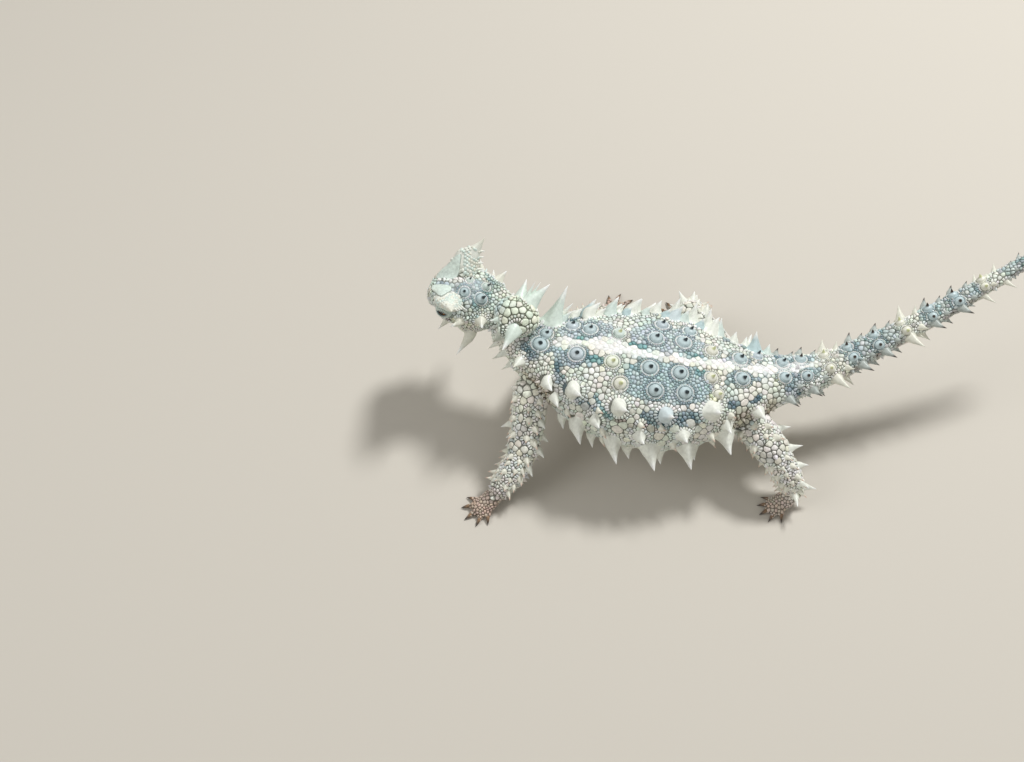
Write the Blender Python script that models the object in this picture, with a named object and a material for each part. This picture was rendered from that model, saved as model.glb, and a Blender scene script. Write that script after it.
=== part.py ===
# Thorny devil (Moloch horridus): a still, life-size model standing on its four feet.
# Metres, +Z up, floor at Z = 0. The animal faces -X, so its left side is towards -Y.
# Every size below is in millimetres until a function turns it into metres.
from collections import namedtuple
import math

import bmesh
import bpy
from mathutils import Matrix, Vector

MM = 0.001
GAP = 0.3  # clearance between neighbouring solids

Section = namedtuple("Section", "x y z half_width up down")
HeadSection = namedtuple("HeadSection", "behind_snout half_width up down")
ThornRow = namedtuple("ThornRow", "angle first step count length radius lean")
LimbRow = namedtuple("LimbRow", "angle first last count length radius")
HeadThorn = namedtuple("HeadThorn", "base tip radius")

# ---- spine: one run of sections from the nape to the tip of the tail
SPINE = (
    Section(-38.4, 13.2, 31.4, 6.6, 5.2, 5.2),
    Section(-33, 8.4, 29, 6.6, 5.5, 6),
    Section(-28, 4.2, 26.6, 8.7, 6.8, 7.2),
    Section(-22, 2.2, 24.8, 12.2, 9.2, 9.8),
    Section(-14, 0.5, 23.4, 16.2, 11, 12),
    Section(-5, -1.1, 22.3, 19.1, 12.1, 13.2),
    Section(5, -2.5, 21.8, 19.8, 12.2, 13.3),
    Section(14, -3.6, 21.8, 17.7, 11.2, 12.2),
    Section(22, -4.1, 22.2, 13.7, 9.3, 9.8),
    Section(29, -4.1, 22.7, 10.3, 7.3, 7.4),
    Section(35, -3.4, 23.1, 7.8, 5.7, 5.7),
    Section(41, -2.2, 23.3, 6.3, 5, 5),
    Section(48, -0.5, 23.8, 5.1, 4.6, 4.6),
    Section(54.5, 1.9, 25, 4.4, 4.1, 4.1),
    Section(61.5, 4.7, 27.3, 3.8, 3.7, 3.7),
    Section(68.5, 7.4, 29.8, 3.4, 3.3, 3.3),
    Section(78.5, 11.6, 33.4, 3, 3, 3),
    Section(89, 16.3, 37.2, 2.7, 2.7, 2.7),
    Section(100, 21.4, 41.4, 2.2, 2.2, 2.2),
    Section(108, 25.5, 44.6, 1.6, 1.6, 1.6),
    Section(114, 29, 47, 0.5, 0.5, 0.5),
)
NECK_START = -35.2  # x of the first spine section behind the head
NECK_END = -25.5  # x where the neck meets the trunk
TAIL_START = 34.5
TAIL_MIDDLE = 61
TAIL_END = 87.5
BODY_SIDES = 18
TAIL_SIDES = 10
TRUNK_SPACING = 3.8  # between rings along the body
TAIL_SPACING = 4.8
SEAT_LAP = 2.9  # how far a seat runs past the solid that it stands for
SQUARENESS = 2.25  # exponent of a body section: 2 is an ellipse, more is boxier

# ---- head, in its own frame: behind the snout, towards the right side, up
SNOUT = (-57, 20.6, 33)
HEAD_YAW = 20  # the muzzle turns to the animal's right
HEAD_ROLL = 4  # and the crown leans to its left
HEAD_SECTIONS = (
    HeadSection(0.2, 2.4, 1.5, 2),
    HeadSection(1.1, 3.9, 2.7, 3.3),
    HeadSection(2.8, 5.1, 4.2, 4.4),
    HeadSection(5.2, 6.3, 5.2, 5.2),
    HeadSection(8, 7.4, 5.8, 5.8),
    HeadSection(11, 8.4, 6.1, 6.2),
    HeadSection(14, 8.8, 6.1, 6.3),
    HeadSection(17, 8.1, 5.7, 6),
    HeadSection(19.6, 6.9, 5.2, 5.3),
)
HEAD_SIDES = 18
EYE = {"behind": 7.2, "aside": 6.1, "above": 1.5, "radius": 1.9}
HORN = {"base": (8.2, 4.9, 3.6), "tip": (12.2, 12.2, 12), "radius": 4.2}
BROW = {"centre": (5.4, 4.3, 3.4), "size": (3.4, 2.3, 2.4)}
HEAD_THORNS = (
    HeadThorn((15.2, 7.6, -3.6), (12.9, 14.4, -6.2), 2.5),  # temple, the longest
    HeadThorn((12.4, 7.6, 0.8), (10.6, 11.2, 2.2), 1.7),  # behind the eye
    HeadThorn((7.6, 5.8, -3.2), (5.8, 9.3, -4.8), 1.4),  # over the lip
    HeadThorn((12.6, 2.5, 5.2), (13.4, 2.8, 8.2), 1.7),  # crown boss
    HeadThorn((16.8, 2.8, 4.6), (18.4, 3.4, 8), 2),  # boss at the back of the crown
    HeadThorn((17.4, 6.4, 1.6), (19.4, 10.4, 4), 1.9),  # back corner of the head
    HeadThorn((2.8, 3.4, 2), (2, 4.8, 4.2), 1),  # over the nostril
    HeadThorn((13.4, 5.6, -5), (12.8, 8.2, -8.6), 1.4),  # angle of the jaw
)

# ---- knob on the nape
KNOB = {"centre": (-33.4, 8.3, 36.4), "size": (6.3, 5.6, 5.3), "yaw": 30}
KNOB_THORNS = (  # direction (back, aside, up), reach from the knob's centre, base radius
    ((0.2, 0.97, 0.08), 12.2, 2.8),
    ((0.82, 0.52, 0.3), 9.2, 1.5),
    ((-0.6, 0.66, 0.38), 8.4, 1.4),
    ((0.25, 0.62, 0.75), 7.8, 1.3),
)

# ---- rows of thorns along the spine: angle is from the midline of the back, both sides alike
NECK_ROWS = (
    ThornRow(66, -34.2, 4, 2, 5.6, 1.8, -0.2),
    ThornRow(84, -35.2, 4.6, 2, 4.6, 1.7, -1.6),
    ThornRow(118, -33, 4.6, 2, 3.2, 1.3, -0.6),
)
TRUNK_ROWS = (
    ThornRow(11, -18.6, 9, 6, 1.9, 1.7, 0.7),  # bosses beside the midline
    ThornRow(28, -15, 8.7, 5, 2.1, 1.6, 0.8),
    ThornRow(52, -17.2, 11.8, 4, 4.8, 2.8, 1.6),  # pale cones high on the flank
    ThornRow(78, -20.6, 10.6, 5, 3.6, 1.9, 1),
    ThornRow(100, -13.6, 8.7, 5, 6.3, 2.9, 1.4),  # the long flank thorns
    ThornRow(119, -17.4, 7.9, 6, 4.2, 1.8, 0.8),
    ThornRow(74, 28.8, 5, 1, 4.6, 2.2, 1.6),  # hip
)
SHOULDER_ROWS = (ThornRow(66, -23.4, 5, 1, 4, 3, 1.2),)
TAIL_ROWS = (
    ThornRow(24, 38.5, 7, 9, 1.7, 1.3, 0.6),
    ThornRow(78, 37, 6.6, 10, 4.2, 1.8, 1.2),
    ThornRow(122, 40, 6.6, 9, 2.4, 1.2, 0.8),
)
TAIL_TIP_ROWS = (
    ThornRow(40, 92, 6, 3, 1.2, 0.8, 0.6),
    ThornRow(88, 89, 5.6, 4, 2.8, 1.2, 1),
)
LONG_TAIL_THORNS = {"first": 51.5, "step": 20.5, "reach": 0.2, "factor": 1.25, "others": 0.85}
THORN_SIDES = 6
SMALL_THORN_SIDES = 5
SMALL_THORN = 5  # a thorn shorter than this has fewer sides
ROOT_DEPTH = 0.45  # a thorn's root goes this share of its radius into the body
BODY_CLEARANCE = 2  # a limb's thorn whose tip is nearer the body than this is left out

# ---- limbs: joints as (x, y, z, radius) from the trunk to the end of the middle toe
Limb = namedtuple("Limb", "names joints outward toe_fan")
LIMBS = (
    Limb(
        ("upper_arm_left", "forearm_left", "hand_left"),
        (
            (-29.2, -3.3, 22.2, 4.9),
            (-31.4, -17.2, 12, 4.2),
            (-38.4, -26.6, 4, 3.4),
            (-47.4, -33.2, 0.9, 1),
        ),
        (-0.75, -0.65),
        (-56, -28, 0, 28, 54),
    ),
    Limb(
        ("upper_arm_right", "forearm_right", "hand_right"),
        (
            (-23.5, 9, 21.5, 4.9),
            (-18.6, 20.2, 11.6, 4.2),
            (-8.6, 31.8, 4, 3.4),
            (1.6, 39.4, 0.9, 1),
        ),
        (0.75, 0.65),
        (-56, -28, 0, 28, 54),
    ),
    Limb(
        ("thigh_left", "shank_left", "foot_left"),
        (
            (24.5, -6.5, 19, 5.6),
            (33.9, -19.8, 15.6, 4.5),
            (40.8, -27.2, 4.6, 3.2),
            (32, -31.8, 0.9, 1),
        ),
        (-0.6, -0.8),
        (-50, -24, 0, 26, 58),
    ),
    Limb(
        ("thigh_right", "shank_right", "foot_right"),
        (
            (24.5, 2.5, 19, 5.6),
            (15.5, 20.4, 18.4, 4.5),
            (18.8, 30.2, 5, 3.2),
            (8.4, 36.2, 0.9, 1),
        ),
        (-0.2, 0.98),
        (-58, -26, 0, 24, 50),
    ),
)
LIMB_SIDES = 10
LIMB_RINGS = 5
JOINT_SLACK = 0.08  # keeps the rings of a bent limb apart on the inner side of the bend
LIMB_CLEARANCE = 1.2  # bare room kept round a limb where it leaves the body
LIMB_ROWS = {
    "upper": (
        LimbRow(78, 0.45, 0.8, 2, 2.6, 1.4),
        LimbRow(-78, 0.45, 0.8, 2, 2.6, 1.4),
        LimbRow(0, 0.6, 0.6, 1, 2.4, 1.6),
    ),
    "lower": (
        LimbRow(72, 0.24, 0.8, 3, 2.6, 1.2),
        LimbRow(-72, 0.24, 0.8, 3, 2.6, 1.2),
        LimbRow(0, 0.4, 0.4, 1, 1.9, 1.3),
    ),
}
PalmStop = namedtuple("PalmStop", "share height half_width half_height")
PALM = (  # rings of the palm, by their share of the way from the wrist to the end of the toes
    PalmStop(0.2, 2.4, 2.6, 1.9),
    PalmStop(0.42, 1.35, 2.7, 1.5),
    PalmStop(0.66, 0.9, 1.7, 1.1),
)
TOE = {"radius": 1.05, "height": 0.85, "start": 0.3, "start_height": 1.45, "sides": 5}
CLAW = {"base": 0.5, "radius": 0.5, "length": 2.1, "tip_radius": 0.12, "tip_height": 0.27}
TOE_LENGTHS = (0.72, 0.92, 1, 0.92, 0.72)  # against the middle toe
FLOOR_SIZE = (400, 400, 4)  # of the block that cuts the feet level

# sRGB colour, roughness
FINISHES = {
    "skin_pale": ((0.84, 0.86, 0.78), 0.62),
    "skin_back": ((0.62, 0.69, 0.69), 0.6),
    "skin_tail": ((0.72, 0.75, 0.70), 0.6),
    "skin_leg": ((0.82, 0.80, 0.74), 0.65),
    "skin_foot": ((0.60, 0.50, 0.46), 0.7),
    "horn": ((0.80, 0.83, 0.68), 0.42),
    "eye": ((0.05, 0.04, 0.035), 0.12),
}


def linear(channel):
    """sRGB channel to the linear value a shader takes."""
    if channel <= 0.04045:
        return channel / 12.92
    return ((channel + 0.055) / 1.055) ** 2.4


def material_of(finish, node_name):
    colour, roughness = FINISHES[finish]
    material = bpy.data.materials.new(f"{finish}_{node_name}")
    material.use_nodes = True
    shader = material.node_tree.nodes["Principled BSDF"]
    shader.inputs["Base Color"].default_value = (*map(linear, colour), 1)
    shader.inputs["Roughness"].default_value = roughness
    shader.inputs["Metallic"].default_value = 0
    return material


def object_from(mesh_builder, name, finish=None):
    """A mesh object from a bmesh. Without a finish it is a helper that never shows."""
    bmesh.ops.recalc_face_normals(mesh_builder, faces=mesh_builder.faces[:])
    mesh = bpy.data.meshes.new(name)
    mesh_builder.to_mesh(mesh)
    mesh_builder.free()
    made = bpy.data.objects.new(name, mesh)
    bpy.context.scene.collection.objects.link(made)
    if finish:
        mesh.materials.append(material_of(finish, name))
        mesh.shade_smooth()
        mesh.set_sharp_from_angle(angle=math.radians(40))
    else:
        made.hide_render = True
        made.display_type = "WIRE"
    return made


def boolean(target, cutter, operation, overlapping_parts=False):
    modifier = target.modifiers.new(f"{operation.lower()}_{cutter.name}", "BOOLEAN")
    modifier.operation = operation
    modifier.solver = "EXACT"
    modifier.use_self = overlapping_parts
    modifier.object = cutter


def catmull_rom(values, position):
    """Smooth value at a fractional index of a list of vectors."""
    last = len(values) - 1
    index = min(max(int(math.floor(position)), 0), last - 1)
    t = position - index
    before = values[max(index - 1, 0)]
    start = values[index]
    end = values[index + 1]
    after = values[min(index + 2, last)]
    weights = (
        (-t + 2 * t**2 - t**3) / 2,
        (2 - 5 * t**2 + 3 * t**3) / 2,
        (t + 4 * t**2 - 3 * t**3) / 2,
        (t**3 - t**2) / 2,
    )
    groups = zip(before, start, end, after)
    return [sum(weight * value for weight, value in zip(weights, group)) for group in groups]


def frame_from(tangent):
    """Right-hand side and upward unit vectors across a path that runs from head to tail."""
    across = Vector((0, 0, 1)).cross(tangent).normalized()
    return across, tangent.cross(across).normalized()


def ring(centre, across, upward, half_width, up, down, sides, exponent=2.0):
    """Points of a squared ellipse, starting at the top and going to the right-hand side."""
    points = []
    for i in range(sides):
        angle = math.tau * i / sides
        sine, cosine = math.sin(angle), math.cos(angle)
        aside = math.copysign(abs(sine) ** (2 / exponent), sine) * half_width
        rise = math.copysign(abs(cosine) ** (2 / exponent), cosine) * (up if cosine > 0 else down)
        points.append(centre + across * aside + upward * rise)
    return points


def add_loft(builder, rings):
    """Closed skin over rings of points in millimetres."""
    rows = [[builder.verts.new(point * MM) for point in points] for points in rings]
    sides = len(rows[0])
    for first, second in zip(rows, rows[1:]):
        for i in range(sides):
            j = (i + 1) % sides
            builder.faces.new((first[i], first[j], second[j], second[i]))
    builder.faces.new(rows[0])
    builder.faces.new(list(reversed(rows[-1])))


def thorn_sides(length):
    return SMALL_THORN_SIDES if length < SMALL_THORN else THORN_SIDES


def add_thorn(builder, root, tip, radius):
    """A closed cone from its round root to its point."""
    axis = (tip - root).normalized()
    across = axis.orthogonal().normalized()
    aside = axis.cross(across)
    sides = thorn_sides((tip - root).length)
    points = ring(root, across, aside, radius, radius, radius, sides)
    corners = [builder.verts.new(point * MM) for point in points]
    apex = builder.verts.new(tip * MM)
    for i in range(sides):
        builder.faces.new((corners[i], corners[(i + 1) % sides], apex))
    builder.faces.new(list(reversed(corners)))


# ---------------------------------------------------------------- spine
def spine_section(x):
    """Section, tangent and frame of the spine at this x."""
    index = 0
    while index < len(SPINE) - 2 and SPINE[index + 1].x < x:
        index += 1
    low, high = index, index + 1
    for _ in range(40):
        middle = (low + high) / 2
        if catmull_rom(SPINE, middle)[0] < x:
            low = middle
        else:
            high = middle
    values = catmull_rom(SPINE, low)
    section = Section(*values)
    step = 0.05
    ahead = Vector(catmull_rom(SPINE, min(low + step, len(SPINE) - 1))[:3])
    behind = Vector(catmull_rom(SPINE, max(low - step, 0))[:3])
    tangent = (ahead - behind).normalized()
    across, upward = frame_from(tangent)
    return section, tangent, across, upward


def spine_ring(x, sides, shift=0.0, grow=0.0):
    section, tangent, across, upward = spine_section(x)
    centre = Vector(section[:3]) + tangent * shift
    sizes = [size + grow for size in section[3:]]
    return ring(centre, across, upward, *sizes, sides, SQUARENESS)


def spine_solid(name, finish, start, end, spacing, sides, grow=0.0):
    """A length of the spine, held half a gap back from each end."""
    count = max(2, round((end - start) / spacing))
    rings = []
    for i in range(count + 1):
        x = start + (end - start) * i / count
        shift = 0
        if i in (0, count) and not grow:
            shift = GAP / 2 if i == 0 else -GAP / 2
        rings.append(spine_ring(x, sides, shift, grow))
    builder = bmesh.new()
    add_loft(builder, rings)
    return object_from(builder, name, finish)


def spine_thorn(row, x, side, length):
    """Root and tip of one thorn of a row, on the left (-1) or right (+1) side."""
    section, tangent, across, upward = spine_section(x)
    angle = math.radians(row.angle) * side
    sine, cosine = math.sin(angle), math.cos(angle)
    height = section.up if cosine > 0 else section.down
    centre = Vector(section[:3])
    aside = math.copysign(abs(sine) ** (2 / SQUARENESS), sine) * section.half_width
    rise = math.copysign(abs(cosine) ** (2 / SQUARENESS), cosine) * height
    surface = centre + across * aside + upward * rise
    normal = (across * sine / section.half_width + upward * cosine / height).normalized()
    root = surface - normal * row.radius * ROOT_DEPTH
    tip = surface + normal * length + tangent * row.lean
    return root, tip


def inside_body(point):
    """Whether a point lies in the neck, the trunk or the tail, or just outside it."""
    section, _, across, upward = spine_section(point.x)
    away = point - Vector(section[:3])
    rise = away.dot(upward)
    height = section.up if rise > 0 else section.down
    aside = away.dot(across)
    width_share = abs(aside) / (section.half_width + BODY_CLEARANCE)
    height_share = abs(rise) / (height + BODY_CLEARANCE)
    return width_share**2 + height_share**2 < 1


def near_limb(point, margin):
    """Whether a point lies within the root of a limb or the bare room round it."""
    samples = 15
    for limb in LIMBS:
        for i in range(samples):
            centre, radius = limb_point(limb, 1.4 * i / (samples - 1))[:2]
            if (point - centre).length < radius + margin:
                return True
    return False


def add_row(builder, row, start, end, long_thorns=None):
    """The thorns of a row whose roots lie between two x values."""
    for i in range(row.count):
        x = row.first + row.step * i
        if not start + row.radius < x < end - row.radius:
            continue
        length = row.length
        if long_thorns:
            away = (x - long_thorns["first"]) / long_thorns["step"]
            near_band = abs(away - round(away)) < long_thorns["reach"]
            length *= long_thorns["factor"] if near_band else long_thorns["others"]
        for side in (-1, 1):
            root, tip = spine_thorn(row, x, side, length)
            middle = (root + tip) / 2
            if near_limb(middle, row.radius) or near_limb(tip, LIMB_CLEARANCE):
                continue
            add_thorn(builder, root, tip, row.radius)


def give_thorns(target, rows, start, end, long_thorns=None):
    for number, row in enumerate(rows):
        builder = bmesh.new()
        add_row(builder, row, start, end, long_thorns)
        if builder.verts:
            boolean(target, object_from(builder, f"{target.name}_thorns_{number}"), "UNION")
        else:
            builder.free()


# ---------------------------------------------------------------- head
def head_axes():
    """Unit vectors of the head: back along it, to its right, and up."""
    yaw, roll = math.radians(HEAD_YAW), math.radians(HEAD_ROLL)
    back = Vector((math.cos(yaw), -math.sin(yaw), 0))
    level = Vector((math.sin(yaw), math.cos(yaw), 0))
    upright = Vector((0, 0, 1))
    right = level * math.cos(roll) + upright * math.sin(roll)
    up = upright * math.cos(roll) - level * math.sin(roll)
    return back, right, up


def head_point(back, aside, above, side=1):
    behind, right, up = head_axes()
    return Vector(SNOUT) + behind * back + right * aside * side + up * above


def head_loft(name, finish, grow=0.0):
    """The head without its thorns; grown by the gap it is the seat of what stands on it."""
    _, right, up = head_axes()
    rings = []
    for back, half_width, rise, drop in HEAD_SECTIONS:
        centre = head_point(back, 0, 0)
        sizes = (half_width + grow, rise + grow, drop + grow)
        rings.append(ring(centre, right, up, *sizes, HEAD_SIDES, SQUARENESS))
    builder = bmesh.new()
    add_loft(builder, rings)
    return object_from(builder, name, finish)


def add_ball(builder, centre, sizes, segments, rows, turn=None):
    """An ellipsoid; sizes are its three half lengths in millimetres."""
    matrix = Matrix.Translation(centre * MM)
    if turn is not None:
        matrix = matrix @ turn
    matrix = matrix @ Matrix.Diagonal((*[size * MM for size in sizes], 1))
    bmesh.ops.create_uvsphere(
        builder, u_segments=segments, v_segments=rows, radius=1, matrix=matrix
    )


def head_turn():
    back, right, up = head_axes()
    return Matrix((back, right, up)).transposed().to_4x4()


def make_head():
    head = head_loft("head", "skin_pale")
    for side, word in ((-1, "left"), (1, "right")):
        brow = bmesh.new()
        back, aside, above = BROW["centre"]
        add_ball(brow, head_point(back, aside, above, side), BROW["size"], 10, 7, head_turn())
        boolean(head, object_from(brow, f"brow_{word}"), "UNION")
    for number, thorn in enumerate(HEAD_THORNS):
        builder = bmesh.new()
        for side in (-1, 1):
            root = head_point(*thorn.base, side)
            tip = head_point(*thorn.tip, side)
            add_thorn(builder, root, tip, thorn.radius)
        boolean(head, object_from(builder, f"head_thorns_{number}"), "UNION")
    for side, word in ((-1, "left"), (1, "right")):
        socket = bmesh.new()
        centre = head_point(EYE["behind"], EYE["aside"], EYE["above"], side)
        add_ball(socket, centre, [EYE["radius"] + GAP] * 3, 12, 7, head_turn())
        boolean(head, object_from(socket, f"socket_{word}"), "DIFFERENCE")
    return head


def make_eyes():
    for side, word in ((-1, "left"), (1, "right")):
        ball = bmesh.new()
        centre = head_point(EYE["behind"], EYE["aside"], EYE["above"], side)
        add_ball(ball, centre, [EYE["radius"]] * 3, 12, 7, head_turn())
        object_from(ball, f"eye_{word}", "eye")


def make_horns(seat):
    """The great horn over each eye, standing on the head with the usual gap."""
    for side, word in ((-1, "left"), (1, "right")):
        builder = bmesh.new()
        root = head_point(*HORN["base"], side)
        tip = head_point(*HORN["tip"], side)
        add_thorn(builder, root, tip, HORN["radius"])
        horn = object_from(builder, f"horn_{word}", "horn")
        boolean(horn, seat, "DIFFERENCE")
        cut_around_balls(horn, side, word)


def cut_around_balls(horn, side, word):
    """Keeps a horn clear of the brow and the eye."""
    builder = bmesh.new()
    back, aside, above = BROW["centre"]
    sizes = [size + GAP for size in BROW["size"]]
    add_ball(builder, head_point(back, aside, above, side), sizes, 10, 7, head_turn())
    boolean(horn, object_from(builder, f"brow_seat_{word}"), "DIFFERENCE")
    builder = bmesh.new()
    centre = head_point(EYE["behind"], EYE["aside"], EYE["above"], side)
    add_ball(builder, centre, [EYE["radius"] + 2 * GAP] * 3, 12, 7, head_turn())
    boolean(horn, object_from(builder, f"eye_seat_{word}"), "DIFFERENCE")


# ---------------------------------------------------------------- neck, knob, trunk, tail
def neck_loft(name, finish, grow=0.0):
    """The neck, from the flat back of the head to the front of the trunk."""
    back, right, up = head_axes()
    last = HEAD_SECTIONS[-1]
    start = head_point(last.behind_snout, 0, 0) + back * GAP
    sizes = [size + grow for size in (last.half_width - 0.4, last.up, last.down)]
    rings = [ring(start, right, up, *sizes, BODY_SIDES, SQUARENESS)]
    steps = 5
    for i in range(steps + 1):
        x = NECK_START + (NECK_END - NECK_START) * i / steps
        shift = -GAP / 2 if i == steps and not grow else 0
        rings.append(spine_ring(x, BODY_SIDES, shift, grow))
    builder = bmesh.new()
    add_loft(builder, rings)
    return object_from(builder, name, finish)


def make_neck():
    neck = neck_loft("neck", "skin_back")
    give_thorns(neck, NECK_ROWS, NECK_START - 2, NECK_END)


def knob_direction(direction, side):
    """A direction given as back, aside and up, in the knob's own heading."""
    yaw = math.radians(KNOB["yaw"])
    back = Vector((math.cos(yaw), -math.sin(yaw), 0))
    right = Vector((math.sin(yaw), math.cos(yaw), 0))
    run, aside, rise = direction
    return (back * run + right * aside * side + Vector((0, 0, rise))).normalized()


def make_knob():
    """The rounded knob on the nape, with its spines, seated on the neck."""
    centre = Vector(KNOB["centre"])
    builder = bmesh.new()
    turn = Matrix.Rotation(-math.radians(KNOB["yaw"]), 4, "Z")
    add_ball(builder, centre, KNOB["size"], 12, 8, turn)
    knob = object_from(builder, "nape_knob", "skin_pale")
    for number, (direction, reach, radius) in enumerate(KNOB_THORNS):
        builder = bmesh.new()
        for side in (-1, 1):
            along = knob_direction(direction, side)
            root = centre + along * (KNOB["size"][1] - radius * 0.8)
            add_thorn(builder, root, centre + along * reach, radius)
        boolean(knob, object_from(builder, f"knob_thorns_{number}"), "UNION")
    return knob


def make_trunk():
    trunk = spine_solid("trunk", "skin_back", NECK_END, TAIL_START, TRUNK_SPACING, BODY_SIDES)
    give_thorns(trunk, TRUNK_ROWS, NECK_END, TAIL_START)
    give_thorns(trunk, SHOULDER_ROWS, NECK_END - SEAT_LAP, TAIL_START)


def make_tail():
    lengths = (
        ("tail_base", TAIL_START, TAIL_MIDDLE, TAIL_ROWS),
        ("tail_middle", TAIL_MIDDLE, TAIL_END, TAIL_ROWS),
        ("tail_end", TAIL_END, SPINE[-1].x, TAIL_TIP_ROWS),
    )
    for name, start, end, rows in lengths:
        tail = spine_solid(name, "skin_tail", start, end, TAIL_SPACING, TAIL_SIDES)
        bands = LONG_TAIL_THORNS if rows is TAIL_ROWS else None
        give_thorns(tail, rows, start, end, bands)


# ---------------------------------------------------------------- limbs
def limb_point(limb, position):
    """Centre, radius, tangent and frame of a limb at a joint number, whole or between."""
    x, y, z, radius = catmull_rom(limb.joints, position)
    step = 0.04
    ahead = catmull_rom(limb.joints, min(position + step, 3))[:3]
    behind = catmull_rom(limb.joints, max(position - step, 0))[:3]
    tangent = (Vector(ahead) - Vector(behind)).normalized()
    outward = Vector((*limb.outward, 0.35))
    upward = (outward - tangent * outward.dot(tangent)).normalized()
    return Vector((x, y, z)), radius, tangent, tangent.cross(upward).normalized(), upward


def keep_beyond(points, origin, normal, distance):
    """Moves points that lie behind a plane out to it, so that a foot stays clear of its shank."""
    kept = []
    for point in points:
        short = distance - (point - origin).dot(normal)
        kept.append(point + normal * short if short > 0 else point)
    return kept


def limb_segment(limb, number, finish):
    """The upper or lower length of a limb, held half a gap back from its joints."""
    rings = []
    for i in range(LIMB_RINGS + 1):
        centre, radius, tangent, across, upward = limb_point(limb, number + i / LIMB_RINGS)
        points = ring(centre, across, upward, radius, radius, radius, LIMB_SIDES)
        if number > 0:
            joint, _, normal = limb_point(limb, number)[:3]
            points = keep_beyond(points, joint, normal, GAP / 2 + JOINT_SLACK * i)
        joint, _, normal = limb_point(limb, number + 1)[:3]
        slack = JOINT_SLACK * (LIMB_RINGS - i)
        points = keep_beyond(points, joint, -normal, GAP / 2 + slack)
        rings.append(points)
    builder = bmesh.new()
    add_loft(builder, rings)
    return object_from(builder, limb.names[number], finish)


def give_limb_thorns(target, limb, number, rows):
    for index, row in enumerate(rows):
        builder = bmesh.new()
        for i in range(row.count):
            share = row.first + (row.last - row.first) * i / max(row.count - 1, 1)
            centre, radius, tangent, across, upward = limb_point(limb, number + share)
            angle = math.radians(row.angle)
            normal = across * math.sin(angle) + upward * math.cos(angle)
            root = centre + normal * (radius - row.radius * 0.6)
            tip = centre + normal * (radius + row.length) + tangent * 0.5
            tip.z = max(tip.z, GAP)
            if not inside_body(tip):
                add_thorn(builder, root, tip, row.radius)
        if builder.verts:
            boolean(target, object_from(builder, f"{target.name}_thorns_{index}"), "UNION")
        else:
            builder.free()


def toe_rings(start, heading, length):
    """Rings of one toe and its claw, from inside the palm to the claw's tip."""
    upright = Vector((0, 0, 1))
    across = upright.cross(heading).normalized()
    stops = (  # way along the toe, height of the centre, radius
        (0, TOE["start_height"], TOE["radius"]),
        (length, TOE["height"], TOE["radius"] * 0.85),
        (length + CLAW["base"], TOE["height"], CLAW["radius"]),
        (length + CLAW["length"], CLAW["tip_height"], CLAW["tip_radius"]),
    )
    rings = []
    for along, height, radius in stops:
        centre = start + heading * along
        centre.z = height
        rings.append(ring(centre, across, upright, radius, radius, radius, TOE["sides"]))
    return rings


def make_foot(limb, floor, finish):
    """Wrist or ankle, flat palm and five clawed toes, cut level with the floor."""
    wrist, radius, tangent, across, upward = limb_point(limb, 2)
    upright = Vector((0, 0, 1))
    heading = Vector(limb.joints[3][:3]) - wrist
    heading.z = 0
    reach = heading.length
    heading.normalize()
    aside = upright.cross(heading).normalized()
    rings = [ring(wrist + tangent * GAP / 2, across, upward, radius, radius, radius, LIMB_SIDES)]
    for share, height, half_width, half_height in PALM:
        centre = wrist + heading * reach * share
        centre.z = height
        turned = (upward * (1 - share) + upright * share).normalized()
        normal = (tangent * (1 - 2 * share) + heading * 2 * share).normalized()
        level_up = (turned - normal * turned.dot(normal)).normalized()
        right = normal.cross(level_up).normalized()
        points = ring(centre, right, level_up, half_width, half_height, half_height, LIMB_SIDES)
        rings.append(keep_beyond(points, wrist, tangent, GAP * (1 + share)))
    builder = bmesh.new()
    add_loft(builder, rings)
    foot = object_from(builder, limb.names[2], finish)
    start = wrist + heading * reach * TOE["start"]
    middle_toe = reach * (1 - TOE["start"]) - CLAW["length"]
    for number, (angle, share) in enumerate(zip(limb.toe_fan, TOE_LENGTHS)):
        turn = math.radians(angle)
        direction = heading * math.cos(turn) + aside * math.sin(turn)
        builder = bmesh.new()
        add_loft(builder, toe_rings(start, direction, middle_toe * share))
        boolean(foot, object_from(builder, f"{foot.name}_toe_{number}"), "UNION")
    boolean(foot, floor, "DIFFERENCE")


def make_floor_cutter():
    builder = bmesh.new()
    size = Matrix.Diagonal((*[side * MM for side in FLOOR_SIZE], 1))
    place = Matrix.Translation((0, 0, -FLOOR_SIZE[2] / 2 * MM))
    bmesh.ops.create_cube(builder, size=1, matrix=place @ size)
    return object_from(builder, "floor_cutter")


def make_limbs(seats, floor):
    for limb in LIMBS:
        for number, rows in enumerate(LIMB_ROWS.values()):
            segment = limb_segment(limb, number, "skin_leg")
            give_limb_thorns(segment, limb, number, rows)
            if number == 0:
                for seat in seats:
                    boolean(segment, seat, "DIFFERENCE")
        make_foot(limb, floor, "skin_foot")


# ---------------------------------------------------------------- placing
def shown_corners():
    """Every corner of the finished solids, in metres."""
    graph = bpy.context.evaluated_depsgraph_get()
    for made in bpy.data.objects:
        if made.type == "MESH" and not made.hide_render:
            mesh = made.evaluated_get(graph).to_mesh()
            yield from (vertex.co.copy() for vertex in mesh.vertices)
            made.evaluated_get(graph).to_mesh_clear()


def centre_over_origin():
    """Puts the middle of the whole model's footprint over the origin, feet at Z = 0."""
    corners = list(shown_corners())
    middle = [(min(c[i] for c in corners) + max(c[i] for c in corners)) / 2 for i in (0, 1)]
    stand = bpy.data.objects.new("stance", None)
    bpy.context.scene.collection.objects.link(stand)
    for made in bpy.data.objects:
        if made.type == "MESH":
            made.parent = stand
    stand.location = (-middle[0], -middle[1], 0)


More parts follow.
